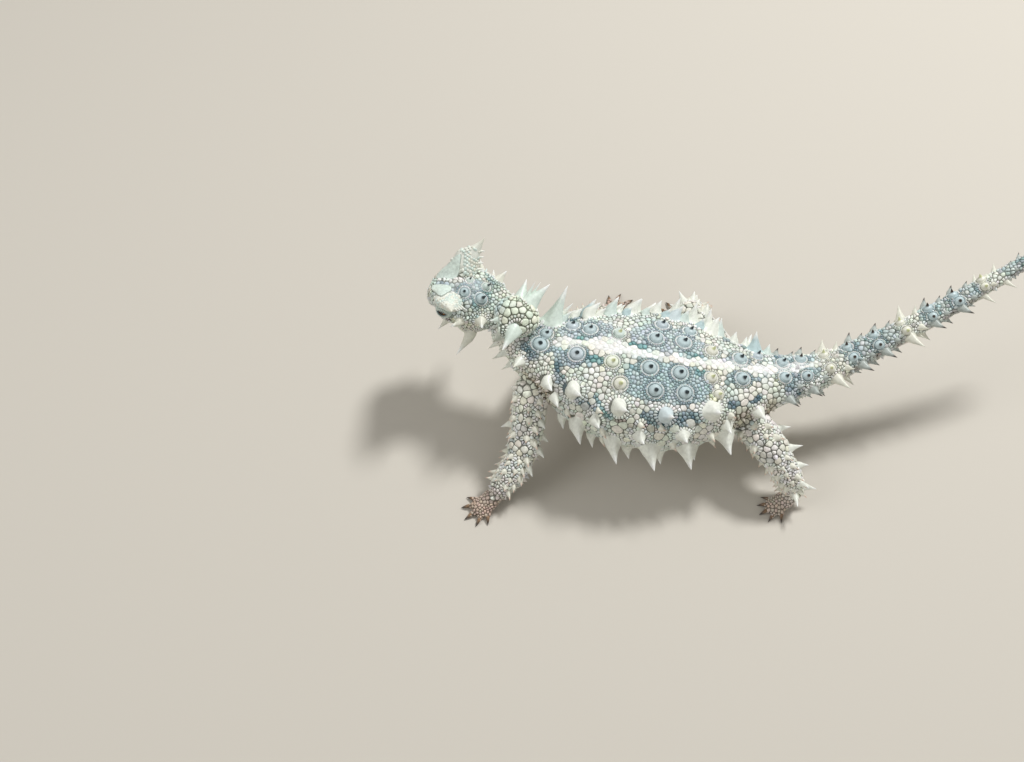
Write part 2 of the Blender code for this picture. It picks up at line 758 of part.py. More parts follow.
def main():
    for old in list(bpy.data.objects):
        bpy.data.objects.remove(old)
    neck_seat = neck_loft("neck_seat", None, GAP)
    seat_ends = (NECK_END - SEAT_LAP, TAIL_START + SEAT_LAP)
    trunk_seat = spine_solid("trunk_seat", None, *seat_ends, TRUNK_SPACING, BODY_SIDES, GAP)
    crown_seat = head_loft("head_seat", None, GAP)
    make_head()
    make_eyes()
    make_horns(crown_seat)
    make_neck()
    make_trunk()
    make_tail()
    knob = make_knob()
    for seat in (neck_seat, trunk_seat, crown_seat):
        boolean(knob, seat, "DIFFERENCE")
    make_limbs((trunk_seat, neck_seat), make_floor_cutter())
    bpy.context.view_layer.update()
    centre_over_origin()


main()
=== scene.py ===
from math import copysign, cos, exp, pi, radians, sin, tau

import bpy
import numpy as np
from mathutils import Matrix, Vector, kdtree
from mathutils.bvhtree import BVHTree
from numpy.linalg import norm


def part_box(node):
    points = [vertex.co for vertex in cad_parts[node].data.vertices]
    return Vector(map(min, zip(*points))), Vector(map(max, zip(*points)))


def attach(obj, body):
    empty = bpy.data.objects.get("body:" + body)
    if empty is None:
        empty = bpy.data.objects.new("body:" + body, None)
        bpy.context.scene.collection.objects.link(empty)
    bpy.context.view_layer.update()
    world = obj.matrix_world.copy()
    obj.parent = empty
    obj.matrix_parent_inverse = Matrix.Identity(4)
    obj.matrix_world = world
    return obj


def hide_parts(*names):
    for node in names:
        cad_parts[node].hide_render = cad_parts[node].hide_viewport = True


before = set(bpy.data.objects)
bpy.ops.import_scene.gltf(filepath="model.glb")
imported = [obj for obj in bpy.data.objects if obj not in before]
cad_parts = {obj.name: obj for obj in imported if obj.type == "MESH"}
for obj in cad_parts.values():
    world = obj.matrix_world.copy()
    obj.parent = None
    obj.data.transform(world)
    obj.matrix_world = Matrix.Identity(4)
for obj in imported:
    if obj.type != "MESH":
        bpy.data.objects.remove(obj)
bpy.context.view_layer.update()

# Thorny devil. Lengths are millimetres in the animal's own frame (nose towards -X, its left side
# towards -Y, feet at Z = 0) until toMetres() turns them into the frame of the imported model.
rng = np.random.default_rng(11)

# body sections, as the solids have them: x, y, z, half width, rise above the centre, drop below
spineRows = np.array((
    (-38.4, 13.2, 31.4, 6.6, 5.2, 5.2), (-33, 8.4, 29, 6.6, 5.5, 6),
    (-28, 4.2, 26.6, 8.7, 6.8, 7.2), (-22, 2.2, 24.8, 12.2, 9.2, 9.8),
    (-14, .5, 23.4, 16.2, 11, 12), (-5, -1.1, 22.3, 19.1, 12.1, 13.2),
    (5, -2.5, 21.8, 19.8, 12.2, 13.3), (14, -3.6, 21.8, 17.7, 11.2, 12.2),
    (22, -4.1, 22.2, 13.7, 9.3, 9.8), (29, -4.1, 22.7, 10.3, 7.3, 7.4),
    (35, -3.4, 23.1, 7.8, 5.7, 5.7), (41, -2.2, 23.3, 6.3, 5, 5),
    (48, -.5, 23.8, 5.1, 4.6, 4.6), (54.5, 1.9, 25, 4.4, 4.1, 4.1),
    (61.5, 4.7, 27.3, 3.8, 3.7, 3.7), (68.5, 7.4, 29.8, 3.4, 3.3, 3.3),
    (78.5, 11.6, 33.4, 3, 3, 3), (89, 16.3, 37.2, 2.7, 2.7, 2.7),
    (100, 21.4, 41.4, 2.2, 2.2, 2.2), (108, 25.5, 44.6, 1.6, 1.6, 1.6),
    (114, 29, 47, .5, .5, .5),
))
squareness = 2.25  # exponent of a body section: 2 is an ellipse
headPose = {"snout": (-57, 20.6, 33), "yaw": 20, "roll": 4}
headRows = np.array((  # way behind the snout, half width, rise, drop
    (.2, 2.4, 1.5, 2), (1.1, 3.9, 2.7, 3.3), (2.8, 5.1, 4.2, 4.4), (5.2, 6.3, 5.2, 5.2),
    (8, 7.4, 5.8, 5.8), (11, 8.4, 6.1, 6.2), (14, 8.8, 6.1, 6.3), (17, 8.1, 5.7, 6),
    (19.6, 6.9, 5.2, 5.3),
))
eye = {"place": (7.2, 6.1, 1.5), "radius": 1.9, "rings": 26, "sides": 36}
horn = {"front": (3.2, 3.4, 3.6), "rear": (12.4, 5.6, 4.4), "tip": (12.2, 12.2, 12),
        "halfLength": 4.6, "halfWidth": 2.9, "rings": 34, "sides": 40,
        "foot": .13,  # share of the height where the horn leaves the scaly skin
        "corner": 1.2, "cornerShare": .42}  # the front edge stands out here by this many mm
# outline of the smooth plate between snout, crown and horn: back, aside, up
browPlace = ((1.9, .9, 3), (4.5, .95, 4.6), (7.2, 1.05, 5.1), (8, 2.3, 5.3), (8.1, 4, 6.4),
             (7.8, 5.9, 7.8), (7.3, 7.2, 8.8), (6.3, 6.9, 7.8), (4.8, 5.2, 5.6), (3.2, 3.9, 3.8),
             (1.9, 2.4, 2.6))
knob = {"centre": (-33.4, 8.3, 36.4), "sizes": (6.3, 5.6, 5.3), "yaw": 30}
limbs = (  # joints as x, y, z, radius from the trunk to the end of the middle toe
    {"name": "arm_left", "outward": (-.75, -.65), "fan": (-56, -28, 0, 28, 54),
     "joints": ((-29.2, -3.3, 22.2, 4.9), (-31.4, -17.2, 12, 4.2), (-38.4, -26.6, 4, 3.4),
                (-47.4, -33.2, .9, 1))},
    {"name": "arm_right", "outward": (.75, .65), "fan": (-56, -28, 0, 28, 54),
     "joints": ((-23.5, 9, 21.5, 4.9), (-18.6, 20.2, 11.6, 4.2), (-8.6, 31.8, 4, 3.4),
                (1.6, 39.4, .9, 1))},
    {"name": "leg_left", "outward": (-.6, -.8), "fan": (-50, -24, 0, 26, 58),
     "joints": ((24.5, -6.5, 19, 5.6), (33.9, -19.8, 15.6, 4.5), (40.8, -27.2, 4.6, 3.2),
                (32, -31.8, .9, 1))},
    {"name": "leg_right", "outward": (-.2, .98), "fan": (-58, -26, 0, 24, 50),
     "joints": ((24.5, 2.5, 19, 5.6), (15.5, 20.4, 18.4, 4.5), (18.8, 30.2, 5, 3.2),
                (8.4, 36.2, .9, 1))},
)
palmRows = ((.2, 2.4, 2.6, 1.9), (.42, 1.35, 2.7, 1.5), (.66, .9, 1.7, 1.1))
toe = {"radius": 1.05, "start": .3, "startHeight": 1.45, "height": .85, "claw": 2.1,
       "shares": (.72, .92, 1, .92, .72)}


def unit(vectors):
    vectors = np.asarray(vectors, float)
    return vectors / np.maximum(norm(vectors, axis=-1, keepdims=True), 1e-9)


def catmullRom(rows, position):
    rows = np.asarray(rows, float)
    last = len(rows) - 1
    position = np.asarray(position, float)
    index = np.clip(np.floor(position).astype(int), 0, last - 1)
    t = (position - index)[..., None]
    before, start = rows[np.clip(index - 1, 0, last)], rows[index]
    end, after = rows[index + 1], rows[np.clip(index + 2, 0, last)]
    return ((-t + 2 * t**2 - t**3) * before + (2 - 5 * t**2 + 3 * t**3) * start
            + (t + 4 * t**2 - 3 * t**3) * end + (t**3 - t**2) * after) / 2


spineSteps = np.linspace(0, len(spineRows) - 1, 2401)
spineFine = catmullRom(spineRows, spineSteps)


def spineAt(x):
    # section, tangent, direction to the right side and upward, at each x
    step = np.interp(x, spineFine[:, 0], spineSteps)
    section = catmullRom(spineRows, step)
    ahead = catmullRom(spineRows, np.minimum(step + .05, len(spineRows) - 1))[..., :3]
    behind = catmullRom(spineRows, np.maximum(step - .05, 0))[..., :3]
    tangent = unit(ahead - behind)
    across = unit(np.cross((0, 0, 1), tangent))
    return section, tangent, across, np.cross(tangent, across)


def oval(angle, halfWidth, rise, drop, exponent=squareness):
    # offsets aside and upward of a squared ellipse; angle 0 is the top, 90 degrees the right
    sine, cosine = np.sin(angle), np.cos(angle)
    aside = np.sign(sine) * np.abs(sine) ** (2 / exponent) * halfWidth
    up = np.sign(cosine) * np.abs(cosine) ** (2 / exponent) * np.where(cosine > 0, rise, drop)
    return aside, up


def spinePoint(x, degrees):
    # point under the skin at an angle from the midline of the back, its normal and the tangent
    section, tangent, across, upward = spineAt(np.asarray(x, float))
    angle = np.radians(degrees)
    halfWidth, rise, drop = np.moveaxis(section[..., 3:] - skinMake["inset"], -1, 0)
    aside, up = oval(angle, halfWidth, rise, drop)
    height = np.where(np.cos(angle) > 0, rise, drop)
    point = section[..., :3] + across * aside[..., None] + upward * up[..., None]
    normal = unit(across * (np.sin(angle) / halfWidth)[..., None]
                  + upward * (np.cos(angle) / height)[..., None])
    return point, normal, tangent


yaw, roll = radians(headPose["yaw"]), radians(headPose["roll"])
headBack = np.array((cos(yaw), -sin(yaw), 0))
headLevel = np.array((sin(yaw), cos(yaw), 0))
headRight = headLevel * cos(roll) + np.array((0, 0, sin(roll)))
headUp = np.array((0, 0, cos(roll))) - headLevel * sin(roll)
headAxes = np.array((headBack, headRight, headUp))
snout = np.array(headPose["snout"])
knobCentre = np.array(knob["centre"])
knobTurn = radians(knob["yaw"])
knobAxes = np.array(((cos(knobTurn), -sin(knobTurn), 0),
                     (sin(knobTurn), cos(knobTurn), 0), (0, 0, 1)))


def headPoint(back, aside, above, side=1):
    return snout + headBack * back + headRight * aside * side + headUp * above


def headSizes(back):
    return catmullRom(headRows[:, 1:], np.interp(back, headRows[:, 0], np.arange(len(headRows))))


def limbAt(limb, position):
    # centre and radius, tangent, direction across and upward at a joint number, whole or between
    joints = limb["joints"]
    row = catmullRom(joints, position)
    ahead = catmullRom(joints, np.minimum(position + .04, 3))[..., :3]
    behind = catmullRom(joints, np.maximum(position - .04, 0))[..., :3]
    tangent = unit(ahead - behind)
    outward = np.array((*limb["outward"], .35))
    upward = unit(outward - tangent * (tangent @ outward)[..., None])
    return row, tangent, unit(np.cross(tangent, upward)), upward


def footFrame(limb):
    # wrist or ankle, heading of the middle toe, level direction aside, reach
    wrist = np.array(limb["joints"][2][:3], float)
    heading = np.array(limb["joints"][3][:3]) - wrist
    heading[2] = 0
    reach = norm(heading)
    heading = heading / reach
    return wrist, heading, np.cross((0, 0, 1), heading), reach


low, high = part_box("eye_left")
eyeCentres = {side: headPoint(*eye["place"], side) for side in (-1, 1)}
shift = np.array((low + high) / 2) * 1000 - eyeCentres[-1]
shift[2] = 0


def toMetres(points):
    return (np.asarray(points, float) + shift) * .001


skinMake = {"inset": .6, "voxel": .52, "smooth": 5, "sides": 56, "toeInset": .2}
shell = {"points": [], "faces": [], "count": 0}


def tubeFaces(count, sides, start=0):
    # quads between neighbouring rings of a tube
    return [(start + r * sides + s, start + r * sides + (s + 1) % sides,
             start + (r + 1) * sides + (s + 1) % sides, start + (r + 1) * sides + s)
            for r in range(count - 1) for s in range(sides)]


def tubeValues(values, sides, *ends):
    # the value of each ring at its points, then those of the end points
    return np.concatenate((np.repeat(values, sides), ends))


def addLoft(rings):
    # closed tube over rings of equal length, ends capped with a fan
    rings = np.asarray(rings, float)
    count, sides = rings.shape[:2]
    start = shell["count"]
    ends = np.stack((rings[0].mean(0), rings[-1].mean(0)))
    shell["points"].append(np.concatenate((rings.reshape(-1, 3), ends)))
    shell["count"] += count * sides + 2
    shell["faces"] += tubeFaces(count, sides, start)
    first = start + count * sides
    for s in range(sides):
        n = (s + 1) % sides
        shell["faces"] += [(start + n, start + s, first),
                           (first - sides + s, first - sides + n, first + 1)]


def ringOf(centre, across, upward, halfWidth, rise, drop, sides, exponent=squareness):
    angle = np.linspace(0, tau, sides, endpoint=False)
    aside, up = oval(angle, halfWidth, rise, drop, exponent)
    return np.asarray(centre) + aside[:, None] * across + up[:, None] * upward


def addBall(centre, sizes, axes, sides=24, rows=14):
    long, wide, tall = sizes
    addLoft([ringOf(np.asarray(centre) - axes[0] * cos(angle) * long, axes[1], axes[2],
                    *np.array((wide, tall, tall)) * sin(angle), sides, 2)
             for angle in np.linspace(.02, pi - .02, rows)])


def addCapsules(points, radii, sides=18):
    # a chain of round rods through points, with rounded ends
    points = np.asarray(points, float)
    path = catmullRom(np.column_stack((points, radii)), np.linspace(0, len(points) - 1, 24))
    tangent = unit(np.gradient(path[:, :3], axis=0))
    across = unit(np.cross(tangent, (.13, .31, 1)))
    stops = [(0, turn) for turn in np.linspace(-1.45, 0, 5)]
    stops += [(i, 0) for i in range(1, len(path) - 1)]
    stops += [(-1, turn) for turn in np.linspace(0, 1.45, 5)]
    rings = []
    for i, turn in stops:
        radius = path[i, 3]
        centre = path[i, :3] + tangent[i] * radius * sin(turn)
        rings.append(ringOf(centre, across[i], np.cross(tangent[i], across[i]),
                            *[radius * cos(turn)] * 3, sides, 2))
    addLoft(rings)


def buildBody():
    inset, sides = skinMake["inset"], skinMake["sides"]
    rings = []
    for back in (15, 18, 19.4):  # the neck starts inside the head
        sizes = (headSizes(back) - inset) * (.9, .72, 1)
        rings.append(ringOf(headPoint(back, 0, 0), headRight, headUp, *sizes, sides))
    for x in np.concatenate((np.arange(-35.4, 60, .9), np.arange(60, 113.6, 1.2))):
        section, _, across, upward = spineAt(x)
        thin = np.maximum(section[3:] - inset, section[3:] * .72)
        rings.append(ringOf(section[:3], across, upward, *thin, sides))
    addLoft(rings)


headSwellings = {"brow": ((6.4, 4.6, 3.1), (3.6, 1.9, 1.7)),
                 "cheek": ((13.6, 5.2, -1.6), (4.2, 3.3, 4)),
                 "jaw": ((8.8, 4.3, -2.6), (4.6, 2.6, 2.4))}


def buildHead():
    inset = skinMake["inset"]
    rings = []
    for back in np.concatenate(((.25, .5, .8), np.linspace(1.2, 19.4, 40))):
        sizes = np.maximum(headSizes(back) - inset, .8)
        sizes[1] *= 1 - .3 * np.clip((back - 13.5) / 5, 0, 1)  # dips towards the nape
        rings.append(ringOf(headPoint(back + .15, 0, 0), headRight, headUp, *sizes,
                            skinMake["sides"]))
    addLoft(rings)
    for side in (-1, 1):
        # straight ridge from the nostril to the horn's corner
        ridge = [headPoint(*place, side) for place in
                 ((1.7, 1.9, 1.7), (3.2, 3.2, 3.1), (5, 4.8, 4.9), (6.6, 6.3, 7))]
        addCapsules(ridge, (.9, 1.1, 1.15, .85))
        for place, sizes in headSwellings.values():
            addBall(headPoint(*place, side), sizes, headAxes)
        addLoft([hornRing(share, side, .4) for share in (-.2, -.1, 0, .1, .18, .26, .34, .4)])
    addCapsules([headPoint(2.6, 0, 2.6), headPoint(9, 0, 4.8), headPoint(14, 0, 4.2)],
                (1.2, 1.5, 1.5))
    addCapsules([headPoint(2, 2.6, -2.2), headPoint(1.1, 0, -1.9), headPoint(2, -2.6, -2.2)],
                (1.3, 1.45, 1.3))


def hornFrame(side):
    # middle of a horn's base, its tip, and the directions along, lengthwise and across it
    front, rear, tip = (headPoint(*horn[key], side) for key in ("front", "rear", "tip"))
    base = (front + rear) / 2
    axis = unit(tip - base)
    long = unit(rear - front - axis * ((rear - front) @ axis))
    return base, tip, axis, long, np.cross(axis, long)


def hornRing(share, side, inset=0.0):
    # section of a horn: a blade whose front edge has a corner half way up
    base, tip, _, long, wide = hornFrame(side)
    centre, taper = base + (tip - base) * share, min(1, 1 - share)
    corner = horn["corner"] * exp(-((share - horn["cornerShare"]) / .2) ** 2)
    front, rear = horn["halfLength"] * taper**1.05 + corner, horn["halfLength"] * taper**1.25
    halfWidth = horn["halfWidth"] * taper**1.05
    ring = ringOf(centre, long, wide, 1, halfWidth - inset, halfWidth - inset, horn["sides"], 1.9)
    ahead = (ring - centre) @ long
    return ring + (ahead * (np.where(ahead < 0, front, rear) - inset - 1))[:, None] * long


def buildKnob():
    sizes = np.array(knob["sizes"]) - skinMake["inset"]
    addBall(knobCentre, sizes, knobAxes, 32, 18)
    for side in (-1, 1):
        aside = knobAxes[1] * side
        addCapsules([knobCentre + aside * 2.2, knobCentre + aside * 4.9], (3.2, 2.1))
    addCapsules([knobCentre - (0, 0, 2), knobCentre - (0, 0, 6.4)], (4.5, 4.9))


def buildLimb(limb):
    inset = skinMake["inset"]
    arm = limb["name"].startswith("arm")
    rings = []
    for position in np.linspace(.04, 2.03, 34):
        row, _, across, upward = limbAt(limb, position)
        muscle = 1 + .09 * sin(pi * min(position, 1)) + (
            .1 * sin(pi * (position - 1)) ** 2 if 1 < position < 2 else 0)
        radius = (row[3] - inset) * muscle
        rings.append(ringOf(row[:3], across, upward, radius * .97, radius * 1.03, radius, 22, 2))
    addLoft(rings)
    shoulder = np.array(limb["joints"][0])
    nearby = catmullRom(limb["joints"], .32)
    addBall(shoulder[:3] * .35 + nearby[:3] * .65, np.full(3, 4.7 if arm else 5.4), knobAxes)
    elbow = np.array(limb["joints"][1])
    addBall(elbow[:3], np.full(3, elbow[3] * .97), knobAxes)
    wrist, heading, aside, reach = footFrame(limb)
    ankle = catmullRom(limb["joints"], 1.93)
    upright = np.array((0, 0, 1.))
    rings = [ringOf(ankle[:3], aside, unit(upright * .5 + heading * .5), 2.5, 2.3, 2.3, 22, 2)]
    for share, height, wide, tall in palmRows:
        centre = wrist + heading * reach * share
        centre[2] = max(height, .2 + tall * .8)
        rings.append(ringOf(centre, aside, upright, wide - .1, tall, tall * .8, 22, 2))
    addLoft(rings)
    for start, direction, length in toeLines(limb):
        points, radii = [], []
        for stop in np.linspace(0, 1, 9):
            swell = .06 * cos(stop * 2.6 * tau)  # joints of the toe
            radius = (toe["radius"] - skinMake["toeInset"]) * (1 - .22 * stop + swell)
            height = toe["startHeight"] + (toe["height"] - toe["startHeight"]) * min(1, stop * 2)
            point = start + direction * length * stop
            point[2] = max(height, radius + .12)
            points.append(point)
            radii.append(radius)
        addCapsules(points, radii, 14)


def toeLines(limb):
    wrist, heading, aside, reach = footFrame(limb)
    start = wrist + heading * reach * toe["start"]
    middle = reach * (1 - toe["start"]) - toe["claw"]
    for turn, share in zip(np.radians(limb["fan"]), toe["shares"]):
        direction = heading * cos(turn) + aside * sin(turn)
        yield start.copy(), direction, middle * share + .1


def readMesh(mesh):
    points = np.empty(len(mesh.vertices) * 3, np.float32)
    mesh.vertices.foreach_get("co", points)
    corners = np.empty(len(mesh.loops), np.int32)
    mesh.loops.foreach_get("vertex_index", corners)
    return points.reshape(-1, 3).astype(float), corners


def inMm(mesh):
    # points of a mesh back in the animal's own frame
    return readMesh(mesh)[0] * 1000 - shift


def listMesh(name, points, faces=()):
    mesh = bpy.data.meshes.new(name)
    mesh.from_pydata(points, [], faces)
    return mesh


def meshFrom(name, points, corners, sizes):
    # mesh from flat arrays: corner indices, and the number of corners of each face
    mesh = bpy.data.meshes.new(name)
    mesh.vertices.add(len(points))
    mesh.vertices.foreach_set("co", np.asarray(points, np.float32).ravel())
    mesh.loops.add(len(corners))
    mesh.loops.foreach_set("vertex_index", np.asarray(corners, np.int32))
    mesh.polygons.add(len(sizes))
    starts = np.concatenate(((0,), np.cumsum(sizes)[:-1])).astype(np.int32)
    mesh.polygons.foreach_set("loop_start", starts)
    mesh.polygons.foreach_set("use_smooth", np.ones(len(sizes), bool))
    mesh.update(calc_edges=True)
    mesh.validate()
    return mesh


def addObject(name, mesh):
    made = bpy.data.objects.new(name, mesh)
    bpy.context.scene.collection.objects.link(made)
    return made


def plainMesh(made, name):
    # mesh of an object with its modifiers applied; the object goes
    graph = bpy.context.evaluated_depsgraph_get()
    mesh = bpy.data.meshes.new_from_object(made.evaluated_get(graph))
    bpy.data.objects.remove(made)
    mesh.name = name
    return mesh


def fuse(voxel):
    # one closed surface round all the overlapping shapes
    points = np.concatenate(shell["points"])
    corners = np.concatenate([np.array(face) for face in shell["faces"]])
    sizes = np.array([len(face) for face in shell["faces"]])
    body = addObject("body_form", meshFrom("body_form", points, corners, sizes))
    modifier = body.modifiers.new("fuse", "REMESH")
    modifier.mode = "VOXEL"
    modifier.voxel_size = voxel
    fused = plainMesh(body, "body_fused")
    points, corners = readMesh(fused)
    bpy.data.meshes.remove(fused)
    return points, corners.reshape(-1, 4)


def relaxSurface(points, quads, rounds):
    # evens the steps of the voxels without shrinking the form
    first, second = np.concatenate([quads[:, (k, (k + 1) % 4)] for k in range(4)]).T
    total = len(points)
    count = np.bincount(first, minlength=total) + np.bincount(second, minlength=total)
    for step in range(rounds * 2):
        near = np.stack([np.bincount(first, points[second, axis], total)
                         + np.bincount(second, points[first, axis], total) for axis in range(3)], 1)
        pull = .6 if step % 2 == 0 else -.58
        points = points + pull * (near / count[:, None] - points)
    return points


def vertexNormals(points, quads):
    first = points[quads[:, 2]] - points[quads[:, 0]]
    second = points[quads[:, 3]] - points[quads[:, 1]]
    normals = np.cross(first, second)
    total = np.zeros_like(points)
    for corner in range(4):
        for axis in range(3):
            total[:, axis] += np.bincount(quads[:, corner], normals[:, axis], len(points))
    return unit(total)


footFrom = 2.02  # joint number where a limb becomes a foot


def locate(points):
    # part (0 spine, 1 head, 2 knob, 3 to 6 limbs), way along it, angle round it in degrees
    points = np.asarray(points, float)
    x = np.clip(points[:, 0], -38.3, 113.9)
    for _ in range(4):
        section, tangent, across, upward = spineAt(x)
        step = np.sum((points - section[:, :3]) * tangent, 1) * tangent[:, 0]
        x = np.clip(x + step, -38.3, 113.9)
    section, tangent, across, upward = spineAt(x)
    away = points - section[:, :3]
    aside, rise = np.sum(away * across, 1), np.sum(away * upward, 1)
    spineAngle, spineFar = ovalPlace(aside, rise, section[:, 3:])
    local = (points - snout) @ headAxes.T
    back = np.clip(local[:, 0], .2, 19.6)
    headAngle, headFar = ovalPlace(local[:, 1], local[:, 2], headSizes(back))
    beyond = np.abs(local[:, 0] - back)
    headFar = np.where(headFar > 0, np.hypot(headFar, beyond), headFar + beyond) - .4
    headFar = np.minimum(headFar, np.min([hornFar(points, side) for side in (-1, 1)], 0))
    inKnob = (points - knobCentre) @ knobAxes.T
    knobFar = (norm(inKnob / np.array(knob["sizes"]), axis=1) - 1) * 5.6 - .3
    knobFar = np.where(inKnob[:, 2] < -3.5, knobFar + 3, knobFar)
    places = [(spineFar, x, spineAngle), (headFar, back, headAngle),
              (knobFar, inKnob[:, 2], np.degrees(np.arctan2(inKnob[:, 1], inKnob[:, 0])))]
    pick = np.arange(len(points))
    stops = np.linspace(.15, 3, 60)
    foot = stops > footFrom
    for limb in limbs:
        row, tangent, across, upward = limbAt(limb, stops)
        distance = norm(points[:, None] - row[None, :, :3], axis=2)
        distance = distance - np.where(foot, 7.5, row[:, 3])
        distance = np.where(foot[None] & (points[:, 2:] > 4), 99, distance)
        near = np.argmin(distance, 1)
        away = points - row[near, :3]
        turn = np.degrees(np.arctan2(np.sum(away * across[near], 1),
                                     np.sum(away * upward[near], 1)))
        wrist, heading, level, _ = footFrame(limb)
        ahead = footFrom + np.clip((points - wrist) @ heading / 12, -.2, 1)
        level = np.clip((points - wrist) @ level * 14, -175, 175)
        places.append((np.maximum(distance[pick, near], -2),
                       np.where(foot[near], ahead, stops[near]), np.where(foot[near], level, turn)))
    far, along, turn = np.stack(places, 1)
    part = np.argmin(far, 0)
    return part, along[part, pick], turn[part, pick]


def ovalPlace(aside, rise, sizes):
    # angle and rough distance outside a squared ellipse
    a = aside / sizes[..., 0]
    r = rise / np.where(rise > 0, sizes[..., 1], sizes[..., 2])
    size = (np.abs(a) ** squareness + np.abs(r) ** squareness) ** (1 / squareness)
    power = squareness / 2
    angle = np.arctan2(np.sign(a) * np.abs(a) ** power, np.sign(r) * np.abs(r) ** power)
    return np.degrees(angle), (size - 1) * sizes.min(-1)


def hornFar(points, side):
    # rough distance outside the cone of a horn
    base, tip, axis, long, wide = hornFrame(side)
    away = points - base
    share = away @ axis / norm(tip - base)
    taper = np.clip(1 - share, .05, 1)
    a = away @ long / (horn["halfLength"] * taper)
    b = away @ wide / (horn["halfWidth"] * taper)
    return (np.hypot(a, b) - 1) * 2.6 * taper + 9 * np.clip(-share, 0, 1)


# Each part has its own rectangle of the unwrap: left, bottom, width, height
charts = ((.01, .5, .97, .48), (.01, .26, .32, .22), (.35, .26, .15, .22),
          (.01, .01, .23, .23), (.26, .01, .23, .23), (.51, .01, .23, .23), (.76, .01, .22, .23))
chartAlong = ((-38.4, 114), (0, 20), (-6, 6), (0, 3.1), (0, 3.1), (0, 3.1), (0, 3.1))


def unwrap(part, along, angle):
    left, bottom, wide, tall = np.array(charts)[part].T
    start, end = np.array(chartAlong)[part].T
    across = np.clip((along - start) / (end - start), 0, 1)
    return np.stack((left + wide * across, bottom + tall * (angle / 360 + .5)), 1)


def toLinear(code):
    channels = [int(code[i:i + 2], 16) / 255 for i in (1, 3, 5)]
    return tuple(c / 12.92 if c <= .04045 else ((c + .055) / 1.055) ** 2.4 for c in channels)


tints = {name: np.array(toLinear(code)) for name, code in {
    "white": "#f6f8f5", "cream": "#e4e4d6", "mint": "#d5e3dc", "blue": "#bdd3d5",
    "ice": "#d0dddf", "lilac": "#c0cdd3", "slate": "#64808a", "teal": "#7ba9ab", "tan": "#b39c7c",
    "brown": "#7d6350", "umber": "#3a2d25", "yellow": "#d6daa8", "hand": "#b89d8c",
    "grey": "#b2bab5", "horn": "#eaede3", "rose": "#d8bfae", "disc": "#bed0d3",
    "plate": "#dbe8de", "ink": "#28353b", "knob": "#edf3e2",
}.items()}

# kind, first x, last x, first angle, last angle; the left side has negative angles
patches = (
    ("blue", -30, -11.5, -18, -3), ("lilac", -25, -17, -30, -14), ("blue", -5.5, 17.2, -40, -4),
    ("blue", 21.5, 30.5, -20, -5), ("blue", 31, 34, -12, -8), ("ice", -25, -11, 7, 35),
    ("ice", -5.5, 16, 3, 30), ("ice", 21, 29, 5, 14), ("teal", -17, -11.5, -13, -5),
    ("teal", -5.5, -2.2, -14, -8), ("teal", 13, 17.2, -12, -7), ("teal", -21, -11.5, 5, 11),
    ("teal", -5.5, 0, 4, 9), ("teal", 10, 16, 2, 6), ("slate", 0, 15, -64, -46),
    ("slate", 13.5, 16, -62, -47), ("slate", .5, 15, 47, 60), ("slate", 22, 25, -55, -42),
    ("slate", 27, 30, -58, -45), ("slate", 22, 25, 42, 55), ("slate", 27, 30, 45, 58),
    ("slate", 36, 41, -90, -40), ("slate", 36, 41, 40, 90), ("blue", 36, 47, -38, -10),
    ("blue", 36, 47, 12, 38), ("yellow", 33.5, 35, -22, -17), ("yellow", 17, 20.5, -40, -26),
    ("yellow", -12, -9, -16, -8), ("slate", -26, -20, 38, 60),
    ("slate", -31, -27.5, -45, -22), ("slate", -31, -27.5, 12, 40),
)
tailBands = {"step": 20.5, "paint": 50.7, "thorns": 51.5}  # mm apart, x of one of them
bars = (  # a bar between two places of the body, with its half width in mm
    ("slate", -23, -28, -22, -45, 1), ("slate", -22, -45, -18, -60, 1.1),
    ("slate", -18, -60, -11, -65, 1), ("teal", -11.5, -50, -8, -65, 1),
    ("brown", -6, -66, 5, -66, .8), ("slate", -23, 30, -20, 55, 1.1),
    ("slate", -20, 55, -11, 64, 1.1), ("brown", -6, 66, 5, 66, .8),
    ("white", 2, -43, 17, -44, .75), ("white", 4, 43, 15, 43, .55),
)


waves = np.random.default_rng(5).normal(size=(3, 7, 3))
wavePhase = np.random.default_rng(6).uniform(0, tau, (3, 7))


def wander(points, size, kind=0):
    # smooth noise from -1 to 1 with the given feature size in mm
    total = 0
    for direction, phase in zip(waves[kind], wavePhase[kind]):
        total = total + np.sin(points @ direction * (2.6 / size) + phase)
    return total / 3.2


def within(value, low, high, soft):
    rise = np.clip((value - low) / soft + .5, 0, 1)
    fall = np.clip((high - value) / soft + .5, 0, 1)
    return rise * fall


def blend(colour, *coats):
    # paints coats of named tints over a colour, each by its share
    for name, share in coats:
        colour = colour + (tints[name] - colour) * np.clip(share, 0, 1)[:, None]
    return colour


def painted(count, base, *coats):
    return blend(np.tile(tints[base], (count, 1)), *coats)


def fade(value, start, wide):
    # from 0 at start to 1 a width further on; a negative width falls
    return np.clip((value - start) / wide, 0, 1)


def degreeAt(x):
    # mm to a degree of angle at this girth
    return np.radians(1) * spineAt(x)[0][:, 3] * .85


def stripeShare(points, x, angle):
    # white line along the back, broken and uneven
    line = (.9 + .35 * wander(points * (1, 0, 0), 5, 2) + .9 * within(x, -15, -8, 3)
            + .4 * within(x, 30, 36, 3) + .2 * wander(points, 1.6, 0))
    centre = np.interp(x, (-30, -25, -12, 0, 12, 20, 33, 42, 60),
                       (0, 0, 1.2, .1, .1, .6, .6, .3, .1))
    off = np.abs(angle * degreeAt(x) - centre)
    stripe = np.clip((line - off) / .35 + .5, 0, 1) * np.clip((50 - x) / 6, .25, 1)
    return stripe * fade(x, -27, 4) * within(x, -40, 58, 6)


